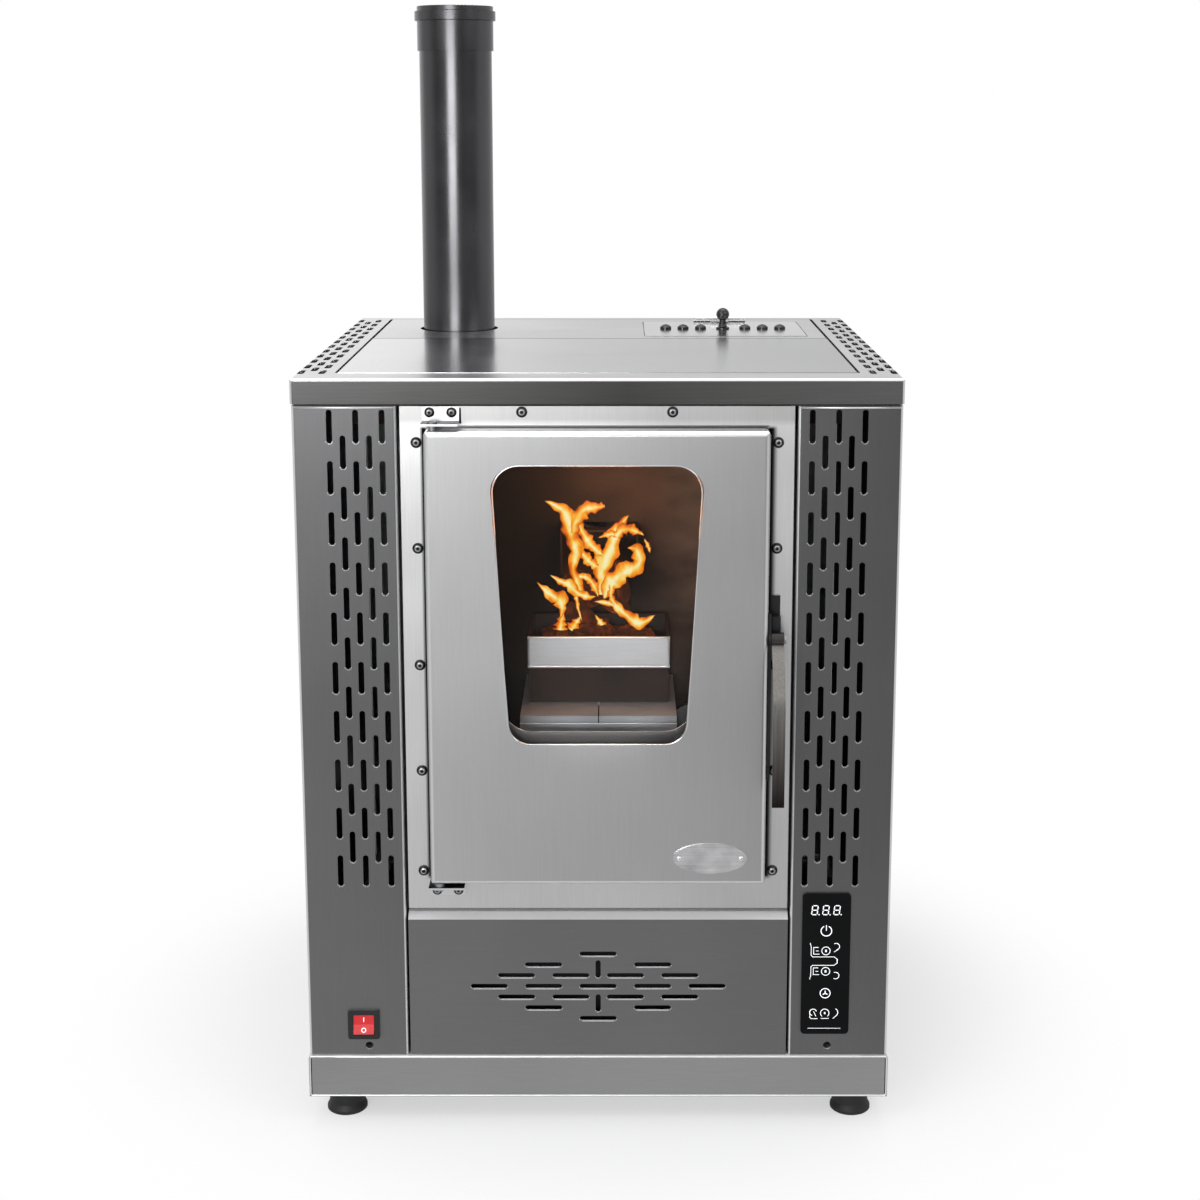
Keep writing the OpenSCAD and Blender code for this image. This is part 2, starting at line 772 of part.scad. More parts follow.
// Bright rim over a pierced basket that drops into the holder
module burn_pot() {
    x = pot_w / 2;
    t = 3;
    in = 6;
    foot = holder_z0 + 6;
    bowl_x = x - in - t;
    color(bright_steel) difference() {
        union() {
            block([-x, pot_y0, pot_z0], [x, pot_y1, pot_z1]);
            block([-x + in, pot_y0 + in, foot], [x - in, pot_y1 - in, pot_z0 + 1]);
        }
        block([-x + t, pot_y0 + t, pot_z0 + t], [x - t, pot_y1 - t, pot_z1 + 1]);
        block([-bowl_x, pot_y0 + in + t, foot + t], [bowl_x, pot_y1 - in - t, pot_z1 + 1]);
        for (i = [-4:4], k = [-2:2])
            rod_z(i * 13, (pot_y0 + pot_y1) / 2 + k * 13, 2.5, foot - 1, foot + t + 1);
        for (i = [-4:4]) rod_y(i * 13, foot + 14, 2.5, pot_y0 + in - 1, pot_y0 + in + t + 1);
    }
}

module igniter() {
    color("#b9b0a2") union() {
        rod_y(30, igniter_z, igniter_r, pot_y1 - 3.5, partition_y + 34);
        rod_y(30, igniter_z, igniter_r + 4, partition_y + sheet + fit, partition_y + 10);
    }
}

// Air intake pipe: its stub stands as far behind the stove as the lever does in front
module air_intake() {
    r = intake_d / 2;
    flange_y = partition_y + sheet + fit;
    color("#3a3a3c") difference() {
        union() {
            rod_y(intake_x, intake_z, r - 0.5, fire_y1 + 0.5, back_y);
            rod_y(intake_x, intake_z, r, back_y - sheet + fit, -lever_y);
            rod_y(intake_x, intake_z, r + 5, flange_y, flange_y + 3.7);
        }
        rod_y(intake_x, intake_z, r - 2, fire_y1 - 1, 1 - lever_y);
    }
}

// Pellet hopper with its lid
module hopper() {
    t = 1.5;
    top = body_h - sheet - fit;
    y0 = seam_y + 11;
    y1 = lid_y1 + 8;
    neck = 24;
    color(steel) difference() {
        union() {
            block([hopper_x0, y0, hopper_z1], [hopper_x1, y1, top]);
            hull() {
                block([hopper_x0, y0, hopper_z1], [hopper_x1, y1, hopper_z1 + 1]);
                block([-neck, neck_y0, hopper_z0], [neck, neck_y1, hopper_z0 + 1]);
            }
            block([-neck, neck_y0, hopper_z0 - 70], [neck, neck_y1, hopper_z0 + 1]);
        }
        block([hopper_x0 + t, y0 + t, hopper_z1 - eps], [hopper_x1 - t, y1 - t, top - t]);
        block([lid_x - lid_w / 2 + 6, lid_y0 + 6, top - t - 1],
              [lid_x + lid_w / 2 - 6, lid_y1 - 6, top + 1]);
        hull() {
            block([hopper_x0 + t, y0 + t, hopper_z1], [hopper_x1 - t, y1 - t, hopper_z1 + 1]);
            block([-neck + t, neck_y0 + t, hopper_z0], [neck - t, neck_y1 - t, hopper_z0 + 1]);
        }
        block([-neck + t, neck_y0 + t, hopper_z0 - 99], [neck - t, neck_y1 - t, hopper_z0 + 1]);
        at_auger() translate([0, 0, -50]) cylinder(r = auger_r + fit, h = auger_len + 90);
    }
}

module hopper_lid() {
    w = lid_w;
    r = 6;
    z = body_h - sheet;
    color("#d8dadc") difference() {
        union() {
            translate([lid_x, lid_y, z]) linear_extrude(sheet + fit) {
                round_rect(w, lid_d, r);
                translate([-w / 2, -lid_d / 2]) square([w, lid_d / 2]);
            }
            block([lid_x - hinge_part, lid_axis_y - 12, body_h + fit - eps],
                  [lid_x + hinge_part, lid_axis_y, body_h + fit + 1.5]);
            rod_x(lid_axis_y, lid_axis_z, barrel_d / 2, lid_x - hinge_part, lid_x + hinge_part);
        }
        rod_x(lid_axis_y, lid_axis_z, barrel_pin_r + run, lid_x - 40, lid_x + 40);
        rod_z(lid_x, lid_y, 2.2, z - 1, z + 5);
        for (x = lid_cap_xs) rod_z(lid_x + x, lid_y, 2.2, z - 1, z + 5);
    }
}

// Hinge leaf and pin on the deck behind the lid
module lid_hinge() {
    far = lid_x + 3 * hinge_part;
    near = lid_x - 3 * hinge_part;
    color(steel) {
        difference() {
            for (s = [-1, 1]) {
                x0 = s < 0 ? near : lid_x + hinge_part + fit;
                x1 = s < 0 ? lid_x - hinge_part - fit : far;
                rod_x(lid_axis_y, lid_axis_z, barrel_d / 2, x0, x1);
                block([x0, lid_axis_y, body_h + fit], [x1, lid_axis_y + 12, body_h + fit + 1.5]);
            }
            rod_x(lid_axis_y, lid_axis_z, barrel_pin_r + run, near - 1, far + 1);
        }
        rod_x(lid_axis_y, lid_axis_z, barrel_pin_r, near, far);
        for (x = [near, far - 1])
            rod_x(lid_axis_y, lid_axis_z, barrel_pin_r + 0.6, x, x + 1);
    }
}

module lid_knob() {
    z = body_h + fit;
    color(black) translate([lid_x, lid_y, z]) {
        rotate_extrude() polygon([
            [0, 0.02], [7.5, 0.02], [7.5, 1.6], [5, 2.6], [4.2, 6.2], [6.2, 6.6], [6.2, 7.6], [3.8, 8],
            [3.2, 12], [3.2, 18], [0, 18]
        ]);
        translate([0, 0, 23.5 - knob_d / 2]) sphere(d = knob_d);
        translate([0, 0, -sheet - 2]) cylinder(r = 2, h = sheet + 3);
        translate([0, 0, -sheet - 4 - fit]) cylinder(r = 4, h = 3.5 - fit);
    }
}

module lid_caps() {
    color(black) for (x = lid_cap_xs) translate([lid_x + x, lid_y, body_h + fit]) {
        difference() {
            rotate_extrude() intersection() {
                translate([0, -3.2]) circle(8.2);
                translate([0, 0.02]) square([6.4, 9]);
            }
            translate([0, 0, 3.2]) cylinder(r = 1.8, h = 3, $fn = 6);
        }
        translate([0, 0, -sheet - 1]) cylinder(r = 2, h = sheet + 2);
    }
}

// Auger: everything is drawn along the tube and leaned back to the feed angle
module at_auger() {
    translate([0, auger_y0, auger_z0]) rotate([auger_a, 0, 0]) children();
}

module auger_tube() {
    r = auger_r;
    color(steel) {
        difference() {
            at_auger() union() {
                difference() {
                    cylinder(r = r, h = auger_len);
                    translate([0, 0, 4]) cylinder(r = r - auger_wall, h = auger_len);
                    translate([0, 0, -1]) cylinder(d = auger_shaft_d + 2 * run, h = 9);
                }
                difference() {
                    translate([0, 0, -3]) cylinder(r = r + 6, h = 6);
                    translate([0, 0, -4]) cylinder(d = auger_shaft_d + 2 * run, h = 9);
                }
            }
            block([-21, neck_y0 + 3, auger_z0 + 34], [21, neck_y1 - 3, hopper_z0 + 40]);
        }
    }
}

module auger_screw() {
    r = auger_r - auger_wall - 1.5;
    len = auger_len - 18;
    turns = len / auger_pitch;
    color("#a7a8aa") at_auger() union() {
        translate([0, 0, 6])
            linear_extrude(len, twist = -360 * turns, slices = round(turns * 22), segments = 8)
            translate([2 - auger_shaft_d / 2, -1.6]) square([r + auger_shaft_d / 2 - 2, 3.2]);
        translate([0, 0, -18]) cylinder(d = auger_shaft_d, h = len + 24);
    }
}

module auger_motor() {
    color("#4b4d52") at_auger() difference() {
        union() {
            translate([-30, -30, -46]) cube([60, 60, 42.7]);
            translate([0, 8, -88]) cylinder(r = 21, h = 43);
            translate([0, 8, -92]) cylinder(r = 8, h = 6);
        }
        translate([0, 0, -20]) cylinder(d = auger_shaft_d + 2 * run, h = 30);
    }
}

// Box that turns the pellets from the auger down a slide into the firebox
module drop_chute() {
    t = 2;
    x = chute_w / 2;
    y1 = auger_mouth_y;
    top = chute_z0 + 128;
    color("#3b332e") difference() {
        union() {
            block([-x, partition_y + sheet + fit, chute_z0], [x, y1, top]);
            block([-x, chute_y0, chute_z0], [x, y1, chute_z1]);
        }
        block([-x + t, partition_y + sheet + fit + t, chute_z0 + t + 14], [x - t, y1 - t, top - t]);
        hull() {
            block([-x + t, chute_y0 - 1, chute_z0 + t], [x - t, chute_y0, chute_z1 - t]);
            block([-x + t, y1 - t - 1, chute_z0 + t + 26], [x - t, y1 - t, chute_z1 + 10]);
        }
        at_auger() cylinder(r = auger_r + fit, h = auger_len + 90);
    }
}

// Exhaust: the gas goes down to the fan and up again to the flue
module downcomer() {
    x0 = downcomer_x0;
    x1 = x0 + downcomer_w;
    y0 = partition_y + 12;
    y1 = y0 + 38;
    z0 = fan_z - 48;
    t = 2;
    color(steel) difference() {
        union() {
            block([x0, y0, z0], [x1, y1, heat_z0 - fit]);
            block([x0 - 8, y0 - 6, heat_z0 - fit - t], [x1 + 8, y1 + 2, heat_z0 - fit]);
            rod_y(fan_x, fan_z, 35, y1 - 1, fan_y0 - fit);
            rod_y(fan_x, fan_z, 43, fan_y0 - fit - 3, fan_y0 - fit);
        }
        block([x0 + t, y0 + t, z0 + t], [x1 - t, y1 - t, heat_z0 + 1]);
        rod_y(fan_x, fan_z, 33, y1 - 5, fan_y0 + 1);
    }
}

module fan_housing() {
    r = fan_r;
    t = fan_wall;
    x0 = fan_x - r;
    z1 = fan_top;
    color("#6d6e70") difference() {
        union() {
            rod_y(fan_x, fan_z, r, fan_y0, fan_y1);
            block([x0, fan_y0, fan_z], [x0 + fan_w, fan_y1, z1]);
            block([x0 - 8, fan_y0 - 8, z1 - 3], [x0 + fan_w + 8, fan_y1 + 8, z1]);
            for (s = [-1, 1]) block([fan_x + s * 46 - 9, fan_y0 + 4, foot_h + sheet + fit],
                                    [fan_x + s * 46 + 9, fan_y0 + 7, fan_z - 60]);
            for (s = [-1, 1]) block([fan_x + s * 46 - 9, fan_y0 + 4, foot_h + sheet + fit],
                                    [fan_x + s * 46 + 9, fan_y0 + 30, foot_h + sheet + fit + 3]);
        }
        rod_y(fan_x, fan_z, r - t, fan_y0 + t, fan_y1 - t);
        block([x0 + t, fan_y0 + t, fan_z], [x0 + fan_w - t, fan_y1 - t, z1 + 1]);
        rod_y(fan_x, fan_z, 33, fan_y0 - 1, fan_y0 + t + 1);
        rod_y(fan_x, fan_z, 4 + run, fan_y1 - t - 1, fan_y1 + 1);
    }
}

// Exhaust impeller: curved blades on a back plate, with the motor shaft
module fan_impeller() {
    r = fan_r - 22;
    hub = 11;
    plate = fan_y1 - fan_wall - 5;
    blade_r = r * 0.62;
    color("#9a9b9d") union() {
        translate([fan_x, plate, fan_z]) rotate([90, 0, 0]) {
            translate([0, 0, -2]) cylinder(r = r, h = 2);
            cylinder(r = hub, h = 30);
            linear_extrude(34) for (k = [0:fan_blades - 1]) rotate(k * 360 / fan_blades)
                intersection() {
                    difference() {
                        circle(r - 0.6);
                        circle(hub - 1);
                    }
                    translate([blade_r, 0]) difference() {
                        circle(blade_r);
                        circle(blade_r - 1.6);
                    }
                    square([r, r]);
                }
        }
        rod_y(fan_x, fan_z, 4, plate - 20, fan_y1 + 22);
    }
}

module fan_motor() {
    y0 = fan_y1 + fit;
    color("#4b4d52") difference() {
        union() {
            rod_y(fan_x, fan_z, 34, y0, y0 + 26);
            rod_y(fan_x, fan_z, 27, y0, y0 + 48);
            for (a = [45:90:315]) translate([fan_x, 0, fan_z]) rotate([0, a, 0]) rod_y(38, 0, 6, y0, y0 + 3);
        }
        rod_y(fan_x, fan_z, 4 + run, y0 - 1, y0 + 26);
    }
}

module flue_collar() {
    z = fan_top + fit;
    r = flue_d / 2 - flue_wall - fit;
    color("#6d6e70") difference() {
        union() {
            block([flue_x - 46, flue_y - 46, z], [flue_x + 46, flue_y + 46, z + 3]);
            rod_z(flue_x, flue_y, r, z, z + 84);
        }
        rod_z(flue_x, flue_y, r - 1.5, z + 2.9, z + 99);
        block([flue_x - 27, flue_y - 27, z - 1], [flue_x + 27, flue_y + 27, z + 4]);
    }
}

// Flue pipe with a socket, a rolled bead and a lip at its top
module flue_pipe() {
    r = flue_d / 2;
    z0 = fan_top + fit + 3 + fit;
    z1 = body_h + flue_rise;
    s = z1 - socket_l;
    t = flue_wall;
    sr = r + 0.5;
    color("#1c1c1e") translate([flue_x, flue_y, 0]) rotate_extrude($fn = 96) {
        translate([r - t, z0]) square([t, s - z0 - 0.5]);
        translate([sr, s]) square([t, socket_l - 0.4]);
        translate([r - t, s - 1.5]) square([sr + t - r + t, 1.5]);
        translate([sr + t - eps, z1 - 16]) square([1, 11]);
        translate([sr + t, z1 - 10.5]) intersection() {
            circle(5.5);
            translate([0, -6]) square([2.6, 12]);
        }
        translate([sr + t / 2, z1 - t / 2]) circle(t / 2, $fn = 24);
    }
}

// Power, control panel and switch
module power_inlet() {
    x = -col_x0 - 34;
    z = col_z0 + 46;
    y = back_y - sheet;
    color(black) difference() {
        union() {
            block([x - 27, y, z - 16], [x + 27, y + 3, z + 16]);
            block([x - 23, y - 26, z - 13], [x + 23, y + 1, z + 13]);
        }
        block([x - 14, y - 16, z - 9], [x + 14, y + 4, z + 9]);
    }
    color("silver") for (i = [-1:1]) translate([x + i * 7, y, z + (i == 0 ? 3 : 0)])
        block([-1, -17, -3], [1, -2, 1]);
}

module controller() {
    w = panel_w / 2 - 3 - fit;
    h = panel_h / 2 - 3 - fit;
    color("#2a2a2c") {
        block([panel_x - w, col_y + 0.1, panel_z - h], [panel_x + w, col_y + 24, panel_z + h]);
        block([panel_x - w + 6, col_y + 23, panel_z - h - 9],
              [panel_x + w - 6, col_y + 26, panel_z + h + 9]);
    }
}

module control_panel() {
    color("#08080a") upright(col_y - 2.2, 2) translate([panel_x, panel_z]) round_rect(panel_w, panel_h, 4);
}

module switch_body() {
    c = rocker_r + 0.4;
    color(black) difference() {
        union() {
            upright(col_y - 2.5, 2.48) translate([switch_x, switch_z]) round_rect(switch_w, switch_h, 2.5);
            block([switch_x - 13.2, col_y - 0.1, switch_z - 12.2],
                  [switch_x + 13.2, col_y + 24, switch_z + 12.2]);
        }
        block([switch_x - rocker_w / 2 - fit, col_y - 5, switch_z - c],
              [switch_x + rocker_w / 2 + fit, col_y + 11, switch_z + c]);
        rod_x(rocker_y, switch_z, 1.2 + run, switch_x - 12, switch_x + 12);
    }
}

module switch_rocker() {
    color("#c8282c") {
        translate([switch_x, rocker_y, switch_z]) rotate([-rocker_tilt, 0, 0]) intersection() {
            rod_x(0, 0, rocker_r, -rocker_w / 2, rocker_w / 2);
            across(-20, 20) polygon([
                [-3, 20], [-3, rocker_r], [-1.6, 0], [-3, -rocker_r], [-3, -20], [20, -20], [20, 20]
            ]);
        }
        rod_x(rocker_y, switch_z, 1.2, switch_x - 11.5, switch_x + 11.5);
    }
}

// Drawer
module drawer_slots() {
    for (row = [-3:3]) {
        n = [4, 3, 1, 0][abs(row)];
        spread = dslot_l * (abs(row) == 2 ? 1.48 : 0.74);
        for (i = [-n:2:n])
            translate([i * spread, row * dslot_row]) rotate(90) slot(dslot_l, dslot_w);
    }
    for (s = [-1, 1])
        translate([0, s * (dslot_row + 6.5)]) slot(18.6, dslot_w);
}

module drawer_front() {
    y = col_y;
    t = sheet;
    color(dark_steel) difference() {
        union() {
            across(-drawer_x, drawer_x) polygon([
                [y, col_z0], [y, drawer_z1 - 6], [y + 7, drawer_z1], [y + 23, drawer_z1],
                [y + 23, drawer_z1 - t], [y + 7 + t * 0.4, drawer_z1 - t], [y + t, drawer_z1 - 6 - t * 0.4],
                [y + t, col_z0]
            ]);
            block_pair([drawer_x - t, y + 1, col_z0], [drawer_x, y + 18, drawer_z1 - 8]);
            block([-drawer_x + 1, y + 1, col_z0], [drawer_x - 1, y + 14, col_z0 + t]);
        }
        upright(y - 1, t + 2) translate([0, col_z0 + 71.3]) drawer_slots();
    }
}

module drawer_box() {
    x = drawer_x - 12.5;
    y0 = col_y + sheet + fit;
    y1 = y0 + drawer_l;
    z0 = col_z0 + 10.5;
    z1 = drawer_z1 - 20;
    t = 1.5;
    wall_y = y0 + 22;
    color(steel) {
        difference() {
            block([-x, y0, z0], [x, y1, z1]);
            block([-x + t, wall_y + t, z0 + t], [x - t, y1 - t, z1 + 1]);
            block([-x + t, y0 - 1, z0 + t], [x - t, wall_y, z1 + 1]);
        }
        block_pair([x - t, y0 + 25, z1 - 2], [x + 7, y1, z1]);
    }
}

module drawer_runners() {
    x1 = wall_x0 - fit;
    x0 = drawer_x - 9;
    z1 = drawer_z1 - 22 - fit;
    color(steel) difference() {
        block_pair([x0, front_y + 28, z1 - 18], [x1, col_y + drawer_l, z1]);
        block_pair([x0 - 1, front_y + 27, z1 - 19], [x1 - 2, col_y + drawer_l + 1, z1 - 2]);
    }
}

// Door
// The door's outside, or its inside with an inset
module door_blank(inset) {
    translate([0, door_y0 + inset, (door_z0 + door_z1) / 2]) rotate([-90, 0, 0])
        blunt_box(door_w - 2 * inset, door_h - 2 * inset, door_t, door_r - inset);
}

module door_shell() {
    color("#a4a5a7") difference() {
        door_blank(0);
        door_blank(sheet);
        upright(door_y0 - 1, sheet + 2) window_2d();
        rod_z(hinge_x, hinge_y, hinge_d / 2 + 0.6, door_z0 - 1, door_z0 + 4);
        rod_z(hinge_x, hinge_y, hinge_d / 2 + 0.6, door_z1 - 4, door_z1 + 1);
    }
}

module door_inner() {
    w = door_w - 2 * sheet - 2 * fit;
    h = door_h - 2 * sheet - 2 * fit;
    color("#77787a") upright(door_y1 - 2, 1.5) difference() {
        translate([0, (door_z0 + door_z1) / 2]) round_rect(w, h, door_r);
        window_2d(8, 15.3);
    }
}

module door_glass() {
    x = win_w_top / 2 + 13;
    y = door_y0 + sheet + 3;
    color([0.2, 0.2, 0.22, 0.35]) upright(y, glass_t)
        translate([-x, win_z0 - 12]) square([2 * x, win_h + 24]);
}

module glass_seal() {
    color("#1f1f20") upright(door_y0 + sheet + 0.1, 2.8) difference() {
        window_2d(10);
        window_2d(2);
    }
}

module glass_clips() {
    x = win_w_top / 2 + 13;
    y0 = door_y0 + sheet + 0.1;
    y1 = door_y0 + sheet + 3 + glass_t;
    color("silver") for (z = [win_z0 + 30, win_z1 - 40]) {
        block_pair([x + fit, y0, z - 9], [x + 14, y1 + 2, z + 9]);
        block_pair([x - 9, y1 + 0.2, z - 9], [x + 1, y1 + 2, z + 9]);
    }
}

module door_gasket() {
    w = door_w - 28;
    h = door_h - 28;
    color("#2c2a28") upright(door_y1 - 0.4, door_gap + 0.1)
        translate([0, (door_z0 + door_z1) / 2]) difference() {
            round_rect(w, h, 14);
            round_rect(w - 18, h - 18, 5);
        }
}

module door_pivots() {
    m = sheet + 1.4;
    color(steel) difference() {
        for (z = [door_z0 + m, door_z1 - m - 20])
            block([-door_x + m, door_y0 + m, z], [hinge_x + 9, hinge_y + 8, z + 20]);
        rod_z(hinge_x, hinge_y, hinge_d / 2 + run, door_z0, door_z1);
    }
}

module hinge_brackets() {
    x0 = -door_x - 2.4;
    x1 = x0 + 34.4;
    t = 2;
    color("#d5d6d8") difference() {
        union() {
            block([x0, frame_y - t, hinge_top_z], [x1, frame_y, col_z1]);
            block([x0, door_y0 + 2, hinge_top_z], [x1, frame_y, hinge_top_z + t]);
            block([x0, frame_y - t, hinge_foot_z - 15.5], [x1, frame_y, hinge_foot_z]);
            block([x0, door_y0 + 2, hinge_foot_z - t], [x1, frame_y, hinge_foot_z]);
        }
        rod_z(hinge_x, hinge_y, hinge_d / 2 + run, hinge_foot_z - 9, hinge_top_z + 9);
        for (x = hinge_screw_xs, z = hinge_screw_zs) rod_y(x, z, screw_hole_r, frame_y - 9, frame_y + 9);
    }
}

module hinge_pins() {
    r = hinge_d / 2;
    color("silver") {
        rod_z(hinge_x, hinge_y, r, door_z1 - 22, hinge_top_z + 2 + fit + 1.2);
        rod_z(hinge_x, hinge_y, r + 1.5, hinge_top_z + 2 + fit, hinge_top_z + 3.5 + fit);
        rod_z(hinge_x, hinge_y, r, hinge_foot_z - 2 - fit - 1.2, door_z0 + 22);
        rod_z(hinge_x, hinge_y, r + 1.5, hinge_foot_z - 3.5 - fit, hinge_foot_z - 2 - fit);
        rod_z(hinge_x, hinge_y, r + 2, hinge_foot_z + fit, door_z0 - fit);
    }
}

module badge() {
    x = door_x - 53;
    z = door_z0 + 27.1;
    color("#e3e4e6") {
        upright(door_y0 - 1.4, 1.38) translate([x, z])
            polygon([for (i = [0:59]) [35.5 * cos(i * 6), 15 * sin(i * 6)]]);
        for (s = [-1, 1]) translate([x + s * 29.5, door_y0 - 1.3, z]) rotate([90, 0, 0]) intersection() {
            translate([0, 0, -2.2]) sphere(3.1, $fn = 24);
            cylinder(r = 2.2, h = 2);
        }
    }
}

// Latch: a lever with a hook that grips a keeper on the frame
module latch_bracket() {
    x0 = door_x + fit;
    x1 = door_x + 3;
    color("#1d1d1f") difference() {
        union() {
            block([x0, door_y0 + 3, latch_z - lever_l + 16], [x1, door_y1 - 1, latch_z + 25]);
            rod_x(latch_y, latch_z, 6, x0, x1);
        }
        rod_x(latch_y, latch_z, latch_pin_d / 2 + run, x0 - 1, x1 + 1);
    }
}

module latch_pin() {
    r = latch_pin_d / 2;
    x1 = lever_x0 + lever_w + fit;
    color("silver") {
        rod_x(latch_y, latch_z, r, door_x + fit, x1 + 1);
        rod_x(latch_y, latch_z, r + 1.6, x1, x1 + 1.8);
    }
}

module lever_strap() {
    drop = 70;
    dy = latch_y - lever_y;
    r = (dy * dy + drop * drop) / (2 * dy);
    translate([lever_y, latch_z - lever_l]) square([lever_t, lever_l - drop + eps]);
    translate([lever_y + r, latch_z - drop]) intersection() {
        difference() {
            circle(r, $fn = 180);
            circle(r - lever_t, $fn = 180);
        }
        translate([-r - 1, 0]) square([r, drop]);
    }
}

module latch_lever() {
    x1 = lever_x0 + lever_w;
    color("#9b9c9e") difference() {
        union() {
            across(lever_x0, x1) lever_strap();
            rod_x(latch_y, latch_z, 6.5, lever_x0, x1);
            across(lever_x0 + 1.5, lever_x0 + 6.5) translate([latch_y, latch_z])
                polygon([[0, -3], [15, -3], [15, 8], [12, 8], [12, 2], [0, 2]]);
        }
        rod_x(latch_y, latch_z, latch_pin_d / 2 + run, lever_x0 - 1, x1 + 1);
    }
}

module latch_keeper() {
    x0 = lever_x0 + 1;
    x1 = x0 + 8;
    color("#1d1d1f") {
        block([x0, frame_y - 2, keeper_z + 3], [x1, frame_y, keeper_z + 33]);
        block([x0, keeper_y - 3, keeper_z + 3], [x1, frame_y, keeper_z + 15]);
        block([x0, keeper_y - keeper_r, keeper_z], [x1, keeper_y + keeper_r, keeper_z + 4]);
        rod_x(keeper_y, keeper_z, keeper_r, x0, x1);
    }
}

plinth();
feet();
foot_bolts();
left_casing();
right_casing();
rear_panel();
inner_walls();
partition();
front_frame();
frame_screws();
top_frame();
top_seal();
hot_plate();
hob_seal();
rear_deck();
heat_box();
firebox();
baffle();
pot_stand();
pot_holder();
burn_pot();
igniter();
air_intake();
hopper();
hopper_lid();
lid_knob();
lid_caps();
lid_hinge();
auger_tube();
auger_screw();
auger_motor();
drop_chute();
downcomer();
fan_housing();
fan_impeller();
fan_motor();
flue_collar();
flue_pipe();
power_inlet();
controller();
control_panel();
switch_body();
switch_rocker();
drawer_front();
drawer_box();
drawer_runners();
door_shell();
door_inner();
door_glass();
glass_seal();
glass_clips();
door_gasket();
door_pivots();
hinge_brackets();
hinge_pins();
badge();
latch_bracket();
latch_pin();
latch_lever();
latch_keeper();
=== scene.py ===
"""Looks of the pellet cookstove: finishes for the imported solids, the fire, the display and the small trim."""
import math
import random

import bmesh
import bpy
from mathutils import Matrix, Vector


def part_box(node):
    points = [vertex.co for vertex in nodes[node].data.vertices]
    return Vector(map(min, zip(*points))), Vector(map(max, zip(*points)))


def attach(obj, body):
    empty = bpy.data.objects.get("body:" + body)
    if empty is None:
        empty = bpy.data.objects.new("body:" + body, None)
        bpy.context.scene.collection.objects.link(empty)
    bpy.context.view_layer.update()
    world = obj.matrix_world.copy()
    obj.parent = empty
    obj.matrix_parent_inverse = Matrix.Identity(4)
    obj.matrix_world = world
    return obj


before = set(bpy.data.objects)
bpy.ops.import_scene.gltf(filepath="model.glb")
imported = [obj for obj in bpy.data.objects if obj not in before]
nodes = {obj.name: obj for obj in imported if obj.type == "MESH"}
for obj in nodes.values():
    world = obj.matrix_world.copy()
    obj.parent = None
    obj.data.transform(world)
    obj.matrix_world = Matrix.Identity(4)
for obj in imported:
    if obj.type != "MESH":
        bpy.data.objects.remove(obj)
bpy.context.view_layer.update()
MM = 0.001

# Places in millimetres: the joint between the hot plate and the deck, and the front of the folded sheets
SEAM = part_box("rear_deck")[0].y / MM
SHEET_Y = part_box("drawer_front")[0].y / MM

# Repeats a metre of brushed grain, 50 mm long and about 1 mm apart, and of grit of the same width
ALONG_X = (20, 900, 900)
ALONG_Z = (900, 900, 20)
GRIT = (900, 900, 900)
# Noise mostly lies between these
LOW, HIGH = 0.3, 0.7
BLACK, WHITE = "#000000", "#ffffff"

finishes = {}


# Colours and shader nodes
def colour(hex_code):
    """An sRGB hex colour as the linear colour that shaders use."""
    values = [int(hex_code[i:i + 2], 16) / 255 for i in (1, 3, 5)]
    linear = [v / 12.92 if v <= 0.04045 else ((v + 0.055) / 1.055) ** 2.4 for v in values]
    return (*linear, 1.0)


def add(tree, kind, inputs=None, stops=(), **settings):
    """Adds a shader node with its settings, its inputs, and a ramp's stops of place and hex colour.
    An input is a value, a socket, or a node that gives its first output."""
    made = tree.nodes.new(kind)
    for name, value in settings.items():
        setattr(made, name, value)
    for socket, value in (inputs or {}).items():
        if isinstance(value, bpy.types.Node):
            value = value.outputs[0]
        if isinstance(value, bpy.types.NodeSocket):
            tree.links.new(value, made.inputs[socket])
        else:
            made.inputs[socket].default_value = value
    if stops:
        elements = made.color_ramp.elements
        while len(elements) < len(stops):
            elements.new(1.0)
        for element, (position, hex_code) in zip(elements, stops):
            element.position = position
            element.color = colour(hex_code)
    return made


def tones(dark, light):
    """Stops that spread two colours over a noise."""
    return [(LOW, dark), (HIGH, light)]


def material(name):
    """Starts a material under its name and returns its empty node tree."""
    made = bpy.data.materials.new(name)
    made.use_nodes = True
    made.node_tree.nodes.clear()
    finishes[name] = made
    return made.node_tree


def surface(tree, sockets, relief=None, strength=0.2, depth=0.01):
    """The shader that the material shows. Relief is a height pattern, with its depth in millimetres."""
    if relief is not None:
        bump = add(tree, "ShaderNodeBump", {"Height": relief, "Strength": strength, "Distance": depth * MM})
        sockets = {**sockets, "Normal": bump}
    shader = add(tree, "ShaderNodeBsdfPrincipled", sockets)
    add(tree, "ShaderNodeOutputMaterial", {"Surface": shader})


def marks(tree, repeats, **noise):
    """Uneven marks on the surface, with so many repeats a metre along x, y and z."""
    where = add(tree, "ShaderNodeTexCoord").outputs["Object"]
    spread = add(tree, "ShaderNodeMapping", {"Vector": where, "Scale": repeats})
    return add(tree, "ShaderNodeTexNoise", {"Vector": spread, "Scale": 1.0, **noise})


def between(tree, source, axis, low, high):
    """0 to 1 as a coordinate of the surface goes from one value to another along an axis."""
    way = add(tree, "ShaderNodeTexCoord").outputs[source]
    part = add(tree, "ShaderNodeSeparateXYZ", {"Vector": way}).outputs[axis]
    return add(tree, "ShaderNodeMapRange", {"Value": part, "From Min": low, "From Max": high})


